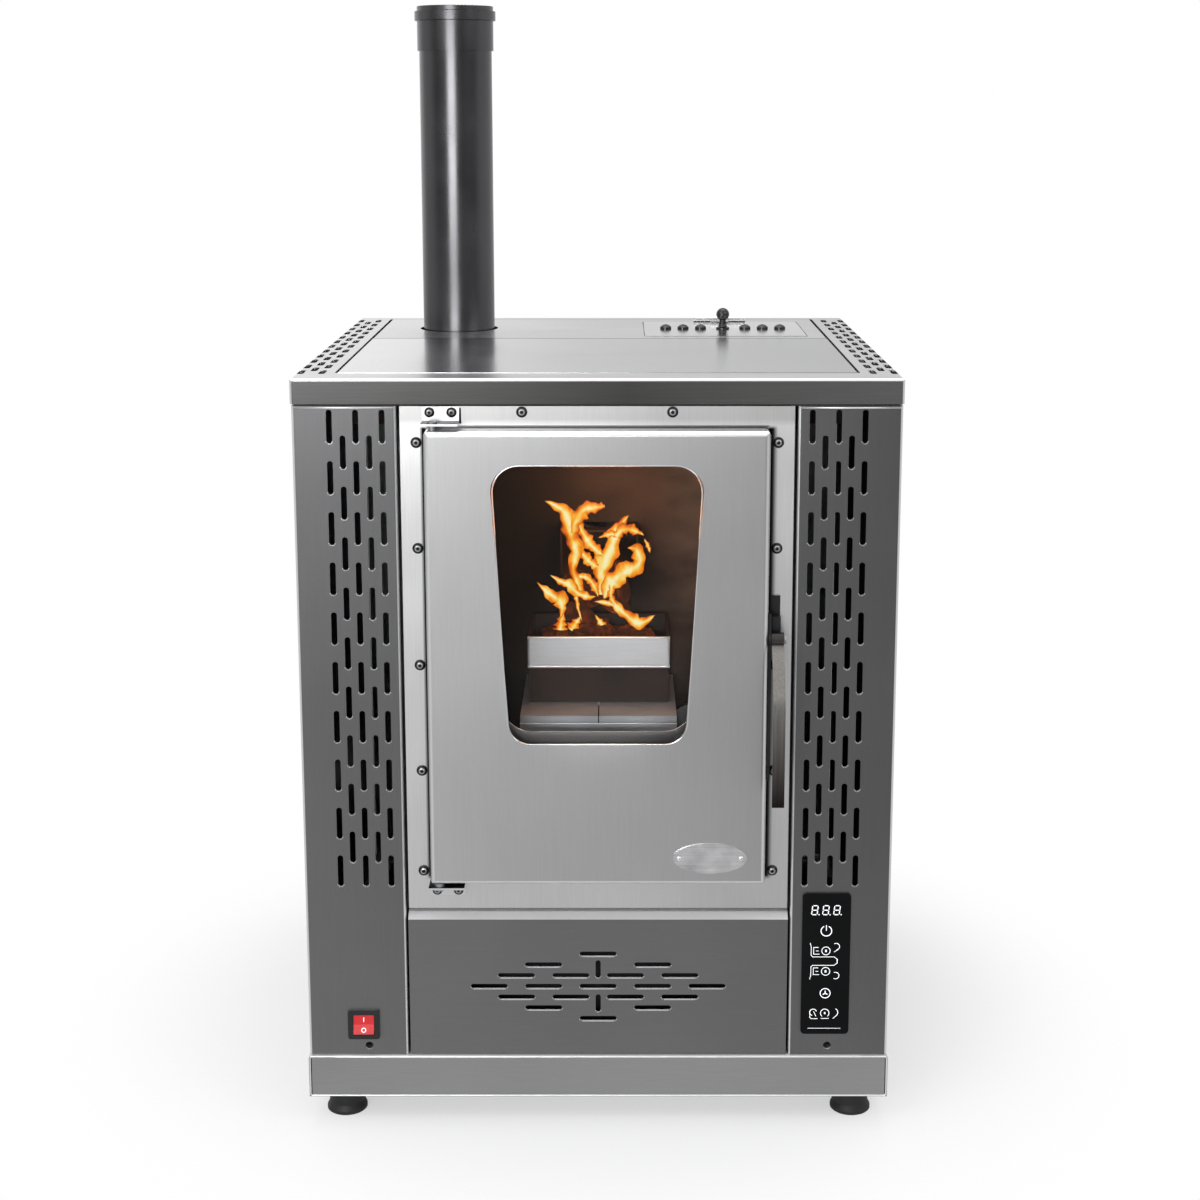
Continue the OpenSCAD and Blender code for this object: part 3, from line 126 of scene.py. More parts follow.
def along(tree, axis, low, high):
    """0 to 1 from one place to another along an axis, in millimetres."""
    return between(tree, "Object", axis, low * MM, high * MM)


def facing(tree, axis, low, high):
    """0 to 1 as the surface turns to face along an axis, from one sine to another."""
    return between(tree, "Normal", axis, low, high)


def joined(tree, operation, *masks):
    """Masks in one: MULTIPLY keeps what they all cover, MAXIMUM what any of them covers."""
    whole = masks[0]
    for mask in masks[1:]:
        whole = add(tree, "ShaderNodeMath", {0: whole, 1: mask}, operation=operation)
    return whole


def bends(tree):
    """1 on the bends and rounded edges, where the surface faces along no axis."""
    way = add(tree, "ShaderNodeTexCoord").outputs["Normal"]
    size = add(tree, "ShaderNodeVectorMath", {0: way}, operation="ABSOLUTE")
    most = joined(tree, "MAXIMUM", *add(tree, "ShaderNodeSeparateXYZ", {"Vector": size}).outputs)
    return add(tree, "ShaderNodeMapRange", {"Value": most, "From Min": 0.99, "From Max": 0.93})


def painted_light_falloff(tree, tone, painted_light_fall, centre):
    """Painted light: lets a tone fade across the sheet, a relative change a metre along x and z from a centre.
    """
    where = add(tree, "ShaderNodeTexCoord").outputs["Object"]
    change = add(tree, "ShaderNodeVectorMath", {0: where, 1: (painted_light_fall[0], 0, painted_light_fall[1])}, operation="DOT_PRODUCT")
    offset = 1 - (painted_light_fall[0] * centre[0] + painted_light_fall[1] * centre[1]) * MM
    level = add(tree, "ShaderNodeMath", {0: change.outputs["Value"], 1: offset}, operation="ADD")
    return add(tree, "ShaderNodeVectorMath", {0: tone, "Scale": level}, operation="SCALE")


def uneven(tree, pattern, roughness, swing=0.04):
    """A roughness that swings a little to each side with a pattern."""
    return add(tree, "ShaderNodeMapRange", {
        "Value": pattern, "From Min": LOW, "From Max": HIGH,
        "To Min": roughness - swing, "To Max": roughness + swing,
    })


def grained(tree, tone, pattern, stops):
    """A tone that a pattern darkens a little, by stops from grey to white."""
    grain = add(tree, "ShaderNodeValToRGB", {"Fac": pattern}, stops)
    inputs = {"Fac": 1.0, "Color1": tone, "Color2": grain}
    return add(tree, "ShaderNodeMixRGB", inputs, blend_type="MULTIPLY")


# Metals and other finishes
def brushed(name, shades, roughness, grain, cloud, depth=0.012, anisotropic=0.35,
            painted_light_fall=None, centre=(0, 500), edge=None, painted_top_highlight=None, soot_and_painted_shade=None):
    """Rolled and brushed stainless steel: fine grain lines along one axis over slow cloudy bands.
    Real grain is about 0.1 mm apart. It is drawn about 1 mm apart so that it shows.
    The shades go from dark to light. The tone can take painted light that fades across the sheet,
    a painted highlight on the bends, a painted highlight on what faces up, which is also dulled,
    and painted shade on the places that a mask names."""
    tree = material(name)
    metallic = 1.0
    lines = marks(tree, grain, Detail=3.0, Roughness=0.6)
    clouds = marks(tree, (cloud, cloud, cloud), Detail=2.0)
    mixed = add(tree, "ShaderNodeMix", {"Factor": 0.6, "A": lines, "B": clouds})
    tone = add(tree, "ShaderNodeValToRGB", {"Fac": mixed}, list(zip((LOW, 0.5, HIGH), shades)))
    # Painted light: the tone fades across the sheet
    if painted_light_fall:
        tone = painted_light_falloff(tree, tone, painted_light_fall, centre)
    # Painted highlight on what faces up, which is also dulled
    if painted_top_highlight:
        above = facing(tree, "Z", 0.2, 0.6)
        tone = add(tree, "ShaderNodeMixRGB", {"Fac": above, "Color1": tone, "Color2": colour(painted_top_highlight)})
        metallic = add(tree, "ShaderNodeMapRange", {"Value": above, "To Min": 1.0, "To Max": 0.3})
    # Painted highlight on the bends
    if edge:
        tone = add(tree, "ShaderNodeMixRGB", {"Fac": bends(tree), "Color1": tone, "Color2": colour(edge)})
    # Painted shade on the places that the mask names
    if soot_and_painted_shade:
        tone = add(tree, "ShaderNodeMixRGB", {"Fac": soot_and_painted_shade(tree), "Color1": tone, "Color2": colour("#101010")})
    surface(tree, {
        "Base Color": tone, "Metallic": metallic, "Anisotropic": anisotropic,
        "Roughness": uneven(tree, mixed, roughness),
    }, lines, 0.25, depth)


def coated(name, dark, light, roughness, grain_mm, depth, metallic=0.0, **fixed):
    """A moulded, plated or enamelled surface with a fine even grain of a given size."""
    tree = material(name)
    step = 1 / (grain_mm * MM)
    fine = marks(tree, (step, step, step), Detail=2.0)
    broad = marks(tree, (14, 14, 14), Detail=3.0)
    tone = add(tree, "ShaderNodeValToRGB", {"Fac": broad}, [(LOW, dark), (0.65, light)])
    surface(tree, {
        "Base Color": tone, "Metallic": metallic, "Roughness": uneven(tree, broad, roughness), **fixed,
    }, fine, 0.3, depth)


def painted_door_shadows(tree):
    """Painted shadow on the frame close along the sides and the top of the door, widest on the latch side,
    a painted shadow line beside the hinge, and the painted soft shade under the fascia. The stops are shares of
    the way across."""
    half_width = 175
    foot, head = (255, 259), (700, 697)
    across = along(tree, "X", -half_width, half_width)
    sides = add(tree, "ShaderNodeValToRGB", {"Fac": across}, [
        (0.029, BLACK), (0.033, WHITE), (0.045, WHITE), (0.05, BLACK),
        (0.95, BLACK), (0.955, WHITE), (0.968, WHITE), (0.98, BLACK),
    ])
    beside = joined(tree, "MULTIPLY", sides, along(tree, "Z", *foot), along(tree, "Z", *head))
    width = add(tree, "ShaderNodeValToRGB", {"Fac": across}, [
        (0.04, BLACK), (0.045, "#e5e5e5"), (0.955, "#e5e5e5"), (0.96, BLACK),
    ])
    over = joined(tree, "MULTIPLY", width, along(tree, "Z", 694, 696), along(tree, "Z", 700.6, 699.6))
    hinge = joined(tree, "MULTIPLY", along(tree, "X", -129, -128), along(tree, "X", -125.9, -126.5),
                   along(tree, "Z", 701, 702), along(tree, "Z", 717, 716))
    shade = add(tree, "ShaderNodeMapRange", {
        "Value": along(tree, "Z", 699, 706), "To Min": 0.0, "To Max": 0.28,
    })
    return joined(tree, "MAXIMUM", beside, over, hinge, shade)


def painted_joint_shade(tree):
    """Painted shade along the joint between the hot plate and the deck, fading out on the plate over 2 mm."""
    return joined(tree, "MULTIPLY", along(tree, "Y", SEAM - 6.5, SEAM - 4.5),
                  along(tree, "Y", SEAM + 2, SEAM + 1))


# Bright annealed sheet, brushed from side to side on the cooking surface, with painted light that makes it
# paler to the left and painted shade along the joint
brushed("brushed stainless plate", ("#c2c2c4", "#cbcbcd", "#d4d4d6"), 0.2, ALONG_X, 5,
        painted_light_fall=(-0.7, 0), centre=(-60, 0), soot_and_painted_shade=painted_joint_shade)
# The same sheet on the back deck, a little duller, with painted shade along the joint
brushed("bright stainless deck", ("#c8c8ca", "#d0d0d1", "#d8d8d9"), 0.26, ALONG_X, 5, soot_and_painted_shade=painted_joint_shade)
# Bright sheet of the middle frame, brushed upright, with painted light fading across it, painted highlights on
# its bends and painted shadows round the door and the hinge
brushed("bright stainless trim", ("#d4d4d6", "#dcdcdc", "#e4e4e4"), 0.34, ALONG_Z, 7,
        painted_light_fall=(-0.5, 0.3), edge=WHITE, soot_and_painted_shade=painted_door_shadows)
# Satin stainless of the door, ground with finer grit, so its grain only shows close up; painted light fades
# across it and its bends get a painted highlight
brushed("satin stainless door", ("#b5b5b6", "#bababb", "#bfbfc0"), 0.36, ALONG_Z, 4,
        painted_light_fall=(-0.9, -0.2), centre=(0, 480), edge="#ececed")
# Dark satin steel of the casings, brushed upright, with painted light fading across it and painted highlights
# on its bends and on what faces up
brushed("dark satin steel", ("#6d6d6e", "#717172", "#757576"), 0.4, ALONG_Z, 5,
        painted_light_fall=(-0.5, -0.5), centre=(-60, 420), edge="#f0f0f0", painted_top_highlight="#e0e0e0")
# The same steel on the drawer, a little paler and brushed from side to side, with painted light fading across
# it and painted highlights on its bends and its top lip
brushed("grey satin steel", ("#79797a", "#7d7d7e", "#818182"), 0.4, ALONG_X, 5,
        painted_light_fall=(-0.35, 0.0), edge="#c8c8c9", painted_top_highlight=WHITE)
# Plinth steel, paler again, with painted highlights on its bends and its top lip
brushed("plinth satin steel", ("#9c9c9d", "#a3a3a4", "#aaaaab"), 0.34, ALONG_X, 4,
        edge="#d0d0d1", painted_top_highlight="#dadada")
# Polished stainless of the hopper lid and of the bead round the window: a clear reflection, hardly any grain
brushed("polished stainless", ("#d8d8da", "#e2e2e3", "#ececed"), 0.16, ALONG_X, 8,
        depth=0.005, anisotropic=0.0)
# Near-white metal for hems, slot rims and beads that stand for edges catching the light: a painted highlight
brushed("painted highlight edge", ("#eaeaea", "#f2f2f2", "#fafafa"), 0.4, ALONG_X, 8,
        depth=0.005, anisotropic=0.0)
# Pressed and buffed badge, with the short waves that buffing leaves and a painted highlight on its bends
brushed("buffed badge steel", ("#bababc", "#d2d2d4", "#e6e6e7"), 0.24, ALONG_X, 60,
        depth=0.01, anisotropic=0.0, edge="#f2f2f2")
# Stainless auger and impeller, worn to an uneven shine by pellets and ash
brushed("worn stainless", ("#8f8f92", "#a9a9ab", "#bfbfc1"), 0.3, ALONG_Z, 12)
# Stand of the pot: stainless dulled by heat
coated("dulled stainless", "#b6bcc2", "#d9dfe4", 0.36, 3.0, 0.02, 0.5)
# Galvanised sheet inside: grey zinc with soft blotches
coated("galvanised sheet", "#8f9294", "#a9acae", 0.42, 2.5, 0.01, 0.9)
# Black oxide on small hardware, and painted shade on the drawer box, which is black so that the drawer's slots
# show dark
coated("black oxide steel", "#1c1c1e", "#2b2b2d", 0.38, 0.6, 0.02, 0.6)
# Stove enamel baked on the flue: glossy black with a faint orange peel
coated("black stove enamel", "#58585a", "#5c5c5e", 0.25, 3.0, 0.01, 1.0)
# Plate that has been in the fire: brown black scale
coated("heat darkened steel", "#1c1310", "#3a2a22", 0.62, 4.0, 0.2, 0.3)
# Pressed vermiculite board over the fire: dry and crumbly
coated("vermiculite board", "#7d725f", "#9b8f7c", 0.85, 1.5, 0.3)
# Grey paint of the gear motor and the fan motor
coated("grey motor paint", "#4a4d51", "#55585c", 0.45, 0.8, 0.03)
# Moulded rubber: dull black
coated("moulded rubber", "#141415", "#1c1c1d", 0.6, 0.5, 0.06)
# Woven glass fibre tape and rope, dark with use
coated("glass fibre rope", "#262423", "#3a3735", 0.9, 1.2, 0.5)
# Moulded ABS with a slight gloss
coated("black ABS", "#151516", "#1b1b1c", 0.26, 0.5, 0.015)
# Polycarbonate rocker: glossy red
coated("red polycarbonate", "#b3161c", "#d8262b", 0.18, 0.8, 0.01, **{"Coat Weight": 0.3})
# Toughened glass, printed black behind and hardly reflecting
coated("black printed glass", "#070809", "#0b0c0d", 0.08, 3.0, 0.002, **{"Specular IOR Level": 0.12})


def ceramic_glass():
    """Clear ceramic glass: 4 mm, faintly brown, and see-through in every view."""
    surface(material("clear ceramic glass"), {
        "Base Color": colour("#15100c"), "Roughness": 0.04, "Alpha": 0.14, "IOR": 1.5,
    })


def firebox_steel():
    """Walls of the firebox: a blotchy skin of soot, darker towards the left and paler towards the right."""
    tree = material("sooted firebox steel")
    blotches = marks(tree, (18, 18, 30), Detail=5.0, Roughness=0.6)
    skin = add(tree, "ShaderNodeValToRGB", {"Fac": along(tree, "X", -140, 140)}, [
        (0.0, "#0e0907"), (0.35, "#24160f"), (0.7, "#4a3c34"), (1.0, "#7a716a"),
    ])
    surface(tree, {
        "Base Color": grained(tree, skin, blotches, [(0.35, "#b0b0b0"), (0.65, WHITE)]),
        "Metallic": 0.2, "Roughness": 0.68,
    }, blotches, 0.4, 0.6)


def pot_steel():
    """Burn pot: wiped bright on its front, sooted everywhere that the fire reaches."""
    tree = material("burn pot steel")
    lines = marks(tree, (30, 900, 900), Detail=3.0)
    bright = add(tree, "ShaderNodeValToRGB", {"Fac": lines}, tones("#eef1f4", "#f8fbfe"))
    soot_and_painted_shade = add(tree, "ShaderNodeValToRGB", {"Fac": lines}, tones("#15100d", "#2c221c"))
    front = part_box("burn_pot")[0].y / MM
    clean = along(tree, "Y", front + 1.4, front + 0.9)
    tone = add(tree, "ShaderNodeMixRGB", {"Fac": clean, "Color1": soot_and_painted_shade, "Color2": bright})
    bare = add(tree, "ShaderNodeMath", {0: clean, 1: 0.4}, operation="MULTIPLY")
    surface(tree, {"Base Color": tone, "Metallic": bare, "Roughness": 0.34}, lines, 0.2, 0.02)


def screw_steel():
    """Black oxide screws with a painted highlight on a ring of each dome."""
    tree = material("screw steel with painted highlight ring")
    worn = marks(tree, GRIT)
    dark = add(tree, "ShaderNodeValToRGB", {"Fac": worn}, tones("#262627", "#343435"))
    pale = add(tree, "ShaderNodeValToRGB", {"Fac": worn}, tones("#a4a4a5", "#bcbcbd"))
    # Painted highlight on a ring of the dome
    highlight_ring = joined(tree, "MULTIPLY", facing(tree, "Y", -0.86, -0.92), facing(tree, "Y", -0.992, -0.978))
    tone = add(tree, "ShaderNodeMixRGB", {"Fac": highlight_ring, "Color1": dark, "Color2": pale})
    surface(tree, {"Base Color": tone, "Metallic": 0.8, "Roughness": 0.34}, worn, 0.3, 0.02)


def hinge_steel():
    """Hinge leaves: bright in front, with painted shade that makes them dull black where they face up."""
    tree = material("hinge steel with painted dark tops")
    lines = marks(tree, ALONG_X)
    bright = add(tree, "ShaderNodeValToRGB", {"Fac": lines}, tones("#d6d6d7", "#e6e6e7"))
    # Painted shade: the faces that look up are near black and hardly reflect
    painted_dark_top = add(tree, "ShaderNodeValToRGB", {"Fac": lines}, tones("#060606", "#101010"))
    above = facing(tree, "Z", 0.2, 0.6)
    tone = add(tree, "ShaderNodeMixRGB", {"Fac": above, "Color1": bright, "Color2": painted_dark_top})
    bare = add(tree, "ShaderNodeMapRange", {"Value": above, "To Min": 1.0, "To Max": 0.0})
    surface(tree, {
        "Base Color": tone, "Metallic": bare, "Roughness": 0.34, "Specular IOR Level": 0.04,
    }, lines, 0.2, 0.01)


def lever_steel():
    """Lever: grey along its middle, darker towards the hub and towards the foot."""
    tree = material("dark lever steel")
    lines = marks(tree, ALONG_Z, Detail=3.0)
    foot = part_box("latch_lever")[0].z / MM
    length = add(tree, "ShaderNodeValToRGB", {"Fac": along(tree, "Z", foot, foot + 175)}, [
        (0.0, "#262321"), (0.12, "#474341"), (0.35, "#716d6a"),
        (0.6, "#908d89"), (0.82, "#94918d"), (0.88, "#4a4846"),
    ])
    surface(tree, {
        "Base Color": grained(tree, length, lines, tones("#dcdcdc", WHITE)),
        "Metallic": 1.0, "Roughness": 0.32,
    }, lines, 0.3, 0.012)


def top_steel():
    """Top frame: the same steel painted bright where it faces up and dark on the fascia, with painted
    reflection along the fascia and a painted highlight on the bends.
    """
    tree = material("top frame steel")
    lines = marks(tree, (20, 700, 900), Detail=3.0)
    bright = add(tree, "ShaderNodeValToRGB", {"Fac": lines}, tones("#c6c6c7", "#d6d6d7"))
    # Painted reflection along the fascia: darkest a little right of the middle, paler to both ends
    fascia = add(tree, "ShaderNodeValToRGB", {"Fac": along(tree, "X", -285, 285)}, [
        (0.0, "#606060"), (0.3, "#545453"), (0.55, "#484846"), (1.0, "#747474"),
    ])
    fascia = grained(tree, fascia, lines, tones("#f0f0f0", WHITE))
    # Painted light and shade: bright where the steel faces up, dark where it faces the front
    above = facing(tree, "Z", 0.3, 0.7)
    tone = add(tree, "ShaderNodeMixRGB", {"Fac": above, "Color1": fascia, "Color2": bright})
    # Painted highlight on the bends
    tone = add(tree, "ShaderNodeMixRGB", {"Fac": bends(tree), "Color1": tone, "Color2": colour("#f4f4f4")})
    surface(tree, {
        "Base Color": tone, "Metallic": 1.0, "Anisotropic": 0.3, "Roughness": 0.3,
    }, lines, 0.2, 0.01)


def display_print():
    """White display print that glows a little through the black glass."""
    tree = material("white display print")
    white = add(tree, "ShaderNodeValToRGB", {"Fac": marks(tree, GRIT)}, [(0.2, "#dfe3e6"), (0.8, "#f7f8f9")])
    surface(tree, {
        "Base Color": white, "Roughness": 0.5, "Emission Color": colour("#eef2f5"), "Emission Strength": 0.55,
    })


def burning(name, stops, strength, soft=False):
    """Burning gas or char: pale yellow at its heart, orange and then red at its rim, where gas thins out."""
    tree = material(name)
    warmth = add(tree, "ShaderNodeAttribute", attribute_name="warmth").outputs["Fac"]
    flow = marks(tree, (95, 60, 48), Detail=3.0, Distortion=0.6)
    swing = add(tree, "ShaderNodeMath", {0: flow, 1: 0.5}, operation="SUBTRACT")
    warm = add(tree, "ShaderNodeMath", {0: swing, 1: 1.3, 2: warmth}, operation="MULTIPLY_ADD")
    sockets = {
        "Base Color": colour("#1a0a04"), "Roughness": 1.0, "Emission Strength": strength,
        "Emission Color": add(tree, "ShaderNodeValToRGB", {"Fac": warm}, stops),
    }
    if soft:
        sockets["Alpha"] = add(tree, "ShaderNodeMapRange", {
            "Value": warm, "From Min": -0.08, "From Max": 0.26,
        })
    surface(tree, sockets)


ceramic_glass()
firebox_steel()
pot_steel()
screw_steel()
hinge_steel()
lever_steel()
top_steel()
display_print()
burning("flame", [
    (0.0, "#8a2c04"), (0.2, "#dd6209"), (0.42, "#fa9019"),
    (0.6, "#fdb93a"), (0.78, "#fee07c"), (0.95, "#fff3b8"),
], 1.2, soft=True)
burning("ember", [(0.0, "#1c0a04"), (0.45, "#3e1705"), (0.7, "#7c3207"), (0.95, "#c9610e")], 0.8)

wears = {
    "plinth satin steel": ["plinth"],
    "dark satin steel": ["left_casing", "right_casing"],
    "grey satin steel": ["drawer_front"],
    "top frame steel": ["top_frame"],
    "bright stainless trim": ["front_frame"],
    "bright stainless deck": ["rear_deck", "lid_hinge"],
    "dulled stainless": ["pot_stand"],
    "burn pot steel": ["burn_pot"],
    "brushed stainless plate": ["hot_plate"],
    "satin stainless door": ["door_shell", "door_inner"],
    "polished stainless": ["hopper_lid"],
    "hinge steel with painted dark tops": ["hinge_brackets"],
    "buffed badge steel": ["badge"],
    "dark lever steel": ["latch_lever"],
    "galvanised sheet": ["foot_bolts", "rear_panel", "inner_walls", "partition", "igniter", "hopper",
                         "auger_tube", "downcomer", "fan_housing", "flue_collar", "drawer_runners",
                         "glass_clips", "door_pivots", "hinge_pins", "latch_pin"],
    "screw steel with painted highlight ring": ["frame_screws"],
    # The drawer box is black as painted shade behind the drawer's slots
    "black oxide steel": ["latch_bracket", "latch_keeper", "drawer_box"],
    "black stove enamel": ["flue_pipe", "air_intake"],
    "heat darkened steel": ["heat_box", "pot_holder", "drop_chute"],
    "sooted firebox steel": ["firebox"],
    "vermiculite board": ["baffle"],
    "grey motor paint": ["auger_motor", "fan_motor"],
    "moulded rubber": ["feet"],
    "glass fibre rope": ["top_seal", "hob_seal", "glass_seal", "door_gasket"],
    "black ABS": ["lid_knob", "lid_caps", "power_inlet", "controller", "switch_body"],
    "red polycarbonate": ["switch_rocker"],
    "black printed glass": ["control_panel"],
    "worn stainless": ["auger_screw", "fan_impeller"],
    "clear ceramic glass": ["door_glass"],
}
for finish, names in wears.items():
    for name in names:
        mesh = nodes[name].data
        mesh.materials.clear()
        mesh.materials.append(finishes[finish])


# Small pieces. A layer is the pair of y between which a flat mark lies. Points less than this many metres
# apart are one.
MERGE = 1e-6


def piece(name, form, finish, body, smooth=False):
    """Turns a bmesh into an object of one finish that rides on a body."""
    bmesh.ops.remove_doubles(form, verts=form.verts, dist=MERGE)
    bmesh.ops.recalc_face_normals(form, faces=form.faces)
    mesh = bpy.data.meshes.new(name)
    form.to_mesh(mesh)
    form.free()
    mesh.materials.append(finishes[finish])
    for face in mesh.polygons:
        face.use_smooth = smooth
    made = bpy.data.objects.new(name, mesh)
    bpy.context.collection.objects.link(made)
    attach(made, body)
    return made


def bar(form, start, end, width, layer):
    """A flat bar between two points of a front plane, in millimetres, a little longer than they are apart."""
    a, b = Vector(start), Vector(end)
    run = b - a
    middle = (a + b) / 2
    y0, y1 = layer
    turn = Matrix.Rotation(-math.atan2(run.y, run.x), 4, "Y")
    size = Matrix.Diagonal(((run.length + width * 0.6) * MM, abs(y1 - y0) * MM, width * MM, 1))
    at = Matrix.Translation(Vector((middle.x, (y0 + y1) / 2, middle.y)) * MM)
    bmesh.ops.create_cube(form, size=1, matrix=at @ turn @ size)


def line(form, points, width, layer):
    """Bars from point to point."""
    for a, b in zip(points, points[1:]):
        bar(form, a, b, width, layer)


def arc(form, centre, radius, start, end, width, layer, steps):
    """Part of a ring: angles in degrees from the right, turning up."""
    points = []
    for i in range(steps + 1):
        angle = math.radians(start + (end - start) * i / steps)
        points.append((centre[0] + radius * math.cos(angle), centre[1] + radius * math.sin(angle)))
    line(form, points, width, layer)


# The display's print lies on the face of its glass
PANEL_X = 222.0
PANEL_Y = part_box("control_panel")[0].y / MM
PRINT = (PANEL_Y - 0.12, PANEL_Y + 0.1)


def digits():
    """Three seven segment digits, each an 8 with its point, that lean to the right."""
    width, height, level, pitch, lean, stroke = 5.4, 9.2, 224.6, 10.7, 0.11, 0.95
    form = bmesh.new()
    for k in (-1, 0, 1):
        middle = PANEL_X - 0.8 + k * pitch

        def at(u, v):
            """A point of the digit, whose segments lie at -1, 0 and 1 across and up."""
            return (middle + u * width / 2 + v * height / 2 * lean, level + v * height / 2)
        for v in (-1, 0, 1):
            bar(form, at(-0.62, v), at(0.62, v), stroke, PRINT)
        for u in (-1, 1):
            bar(form, at(u, 0.16), at(u, 0.84), stroke, PRINT)
            bar(form, at(u, -0.84), at(u, -0.16), stroke, PRINT)
        dot = at(1.62, -1)
        bar(form, dot, (dot[0] + 0.4, dot[1]), 1.1, PRINT)
    return piece("display_digits", form, "white display print", "stove")


def symbols():
    """Touch keys: power, two mirrored rows of plain symbols, a round key, a lower row and a line below."""
    form = bmesh.new()
    x, w = PANEL_X, 0.6
    power_z, round_z, upper_z, lower_z = 203.2, 138.6, 182.6, 161.4
    # Power key: an open ring with a bar
    arc(form, (x, power_z), 5.2, 118, 422, 0.8, PRINT, 26)
    bar(form, (x, power_z + 0.4), (x, power_z + 5.8), 0.8, PRINT)
    # Each of the two rows: a bent line under it, a bracket, a ring with a mark, and a hook
    for z, up in ((upper_z, 1), (lower_z, -1)):
        edge = z - up * 6.2
        line(form, [(x - 15.4, z + up * 8), (x - 14.4, z + up * 4), (x - 14.4, edge + up * 1.5),
                    (x - 12.8, edge), (x + 8, edge), (x + 11.2, edge - up * 2.4), (x + 11, edge - up * 6)],
             w, PRINT)
        line(form, [(x - 7.4, z + 3.6), (x - 12, z + 3.6), (x - 12, z - 3.4), (x - 6.4, z - 3.4)], w, PRINT)
        bar(form, (x - 9.6, z), (x - 7.4, z), w, PRINT)
        arc(form, (x, z), 4.1, 0, 360, w, PRINT, 20)
        bar(form, (x, z - 0.7), (x, z + 0.7), 1.7, PRINT)
        arc(form, (x + 9.8, z + up * 4.4), 3.4, -80 * up, 120 * up, w, PRINT, 12)
        bar(form, (x + 8.2, z - 1), (x + 11.6, z + up * 1.4), w, PRINT)
    # Round key with three spokes
    spoke = 2.3
    arc(form, (x, round_z), 4.9, 0, 360, 0.75, PRINT, 24)
    for turn in (90, 210, 330):
        angle = math.radians(turn)
        bar(form, (x, round_z), (x + spoke * math.cos(angle), round_z + spoke * math.sin(angle)), 1.0, PRINT)
    # Lower row, from the left
    arc(form, (x - 11.4, 118.6), 3.4, 20, 250, w, PRINT, 14)
    line(form, [(x - 14.6, 118), (x - 14.6, 113.2), (x - 13, 112), (x - 7, 112)], w, PRINT)
    bar(form, (x - 11, 119.4), (x - 8.6, 114.6), w, PRINT)
    arc(form, (x, 117.8), 4.2, -50, 230, w, PRINT, 18)
    line(form, [(x - 3.6, 112.2), (x + 3.8, 112.2)], w, PRINT)
    bar(form, (x, 117.2), (x, 118.4), 1.5, PRINT)
    arc(form, (x + 8.4, 118.4), 4.4, -60, 60, w, PRINT, 10)
    bar(form, (x + 8.2, 112.2), (x + 11, 115), w, PRINT)
    # Line along the foot
    line(form, [(x - 16.4, 101.9), (x + 15.4, 101.9)], 0.45, PRINT)
    return piece("display_symbols", form, "white display print", "stove")


def rocker_marks():
    """I and O moulded white into the two halves of the rocker, which lean away from its middle."""
    pivot = Vector((-230.0, -273.5, 105.4)) * MM
    ridge = Vector((0, -1.6, 0)) * MM
    tilt = math.radians(10)
    lean = math.atan2(1.4, 9.9)
    layer = (-1.72, -1.5)
    form = bmesh.new()
    for sign in (1, -1):
        half = bmesh.new()
        if sign == 1:
            bar(half, (0, 2.9), (0, 6.9), 0.8, layer)
        else:
            arc(half, (0, -5.4), 2.0, 0, 360, 0.7, layer, 20)
        for middle, angle in ((ridge, sign * lean), (Vector(), -tilt)):
            bmesh.ops.rotate(half, verts=half.verts, cent=middle, matrix=Matrix.Rotation(angle, 3, "X"))
        bmesh.ops.translate(half, verts=half.verts, vec=pivot)
        mesh = bpy.data.meshes.new("mark")
        half.to_mesh(mesh)
        half.free()
        form.from_mesh(mesh)
        bpy.data.meshes.remove(mesh)
    return piece("rocker_marks", form, "white display print", "rocker")


def rounded_run(corners, y, steps=8):
    """Points round a shape in a front plane whose corners are (x, z, radius)."""
    points = []
    count = len(corners)
    for i, (x, z, radius) in enumerate(corners):
        here = Vector((x, z))
        before = (Vector(corners[i - 1][:2]) - here).normalized()
        after = (Vector(corners[(i + 1) % count][:2]) - here).normalized()
        half = before.angle(after) / 2
        middle = here + (before + after).normalized() * radius / math.sin(half)
        a = here + before * radius / math.tan(half) - middle
        b = here + after * radius / math.tan(half) - middle
        for k in range(steps + 1):
            p = middle + a.normalized().slerp(b.normalized(), k / steps) * radius
            points.append((p.x, y, p.y))
    return points


def bead(name, top, bottom, y, radius, finish, body):
    """A round bead round a front face. Its top and its bottom are half its width, its height and the radius
    of its corners, in millimetres."""
    (half_top, z_top, bend_top), (half_low, z_low, bend_low) = top, bottom
    points = rounded_run([(-half_top, z_top, bend_top), (half_top, z_top, bend_top),
                          (half_low, z_low, bend_low), (-half_low, z_low, bend_low)], y)
    curve = bpy.data.curves.new(name, "CURVE")
    curve.dimensions = "3D"
    curve.bevel_depth = radius * MM
    curve.bevel_resolution = 2
    spline = curve.splines.new("POLY")
    spline.points.add(len(points) - 1)
    for target, point in zip(spline.points, points):
        target.co = (*(Vector(point) * MM), 1)
    spline.use_cyclic_u = True
    shape = bpy.data.objects.new(name, curve)
    bpy.context.collection.objects.link(shape)
    mesh = bpy.data.meshes.new_from_object(shape.evaluated_get(bpy.context.evaluated_depsgraph_get()))
    bpy.data.objects.remove(shape)
    bpy.data.curves.remove(curve)
    form = bmesh.new()
    form.from_mesh(mesh)
    bpy.data.meshes.remove(mesh)
    return piece(name, form, finish, body, smooth=True)


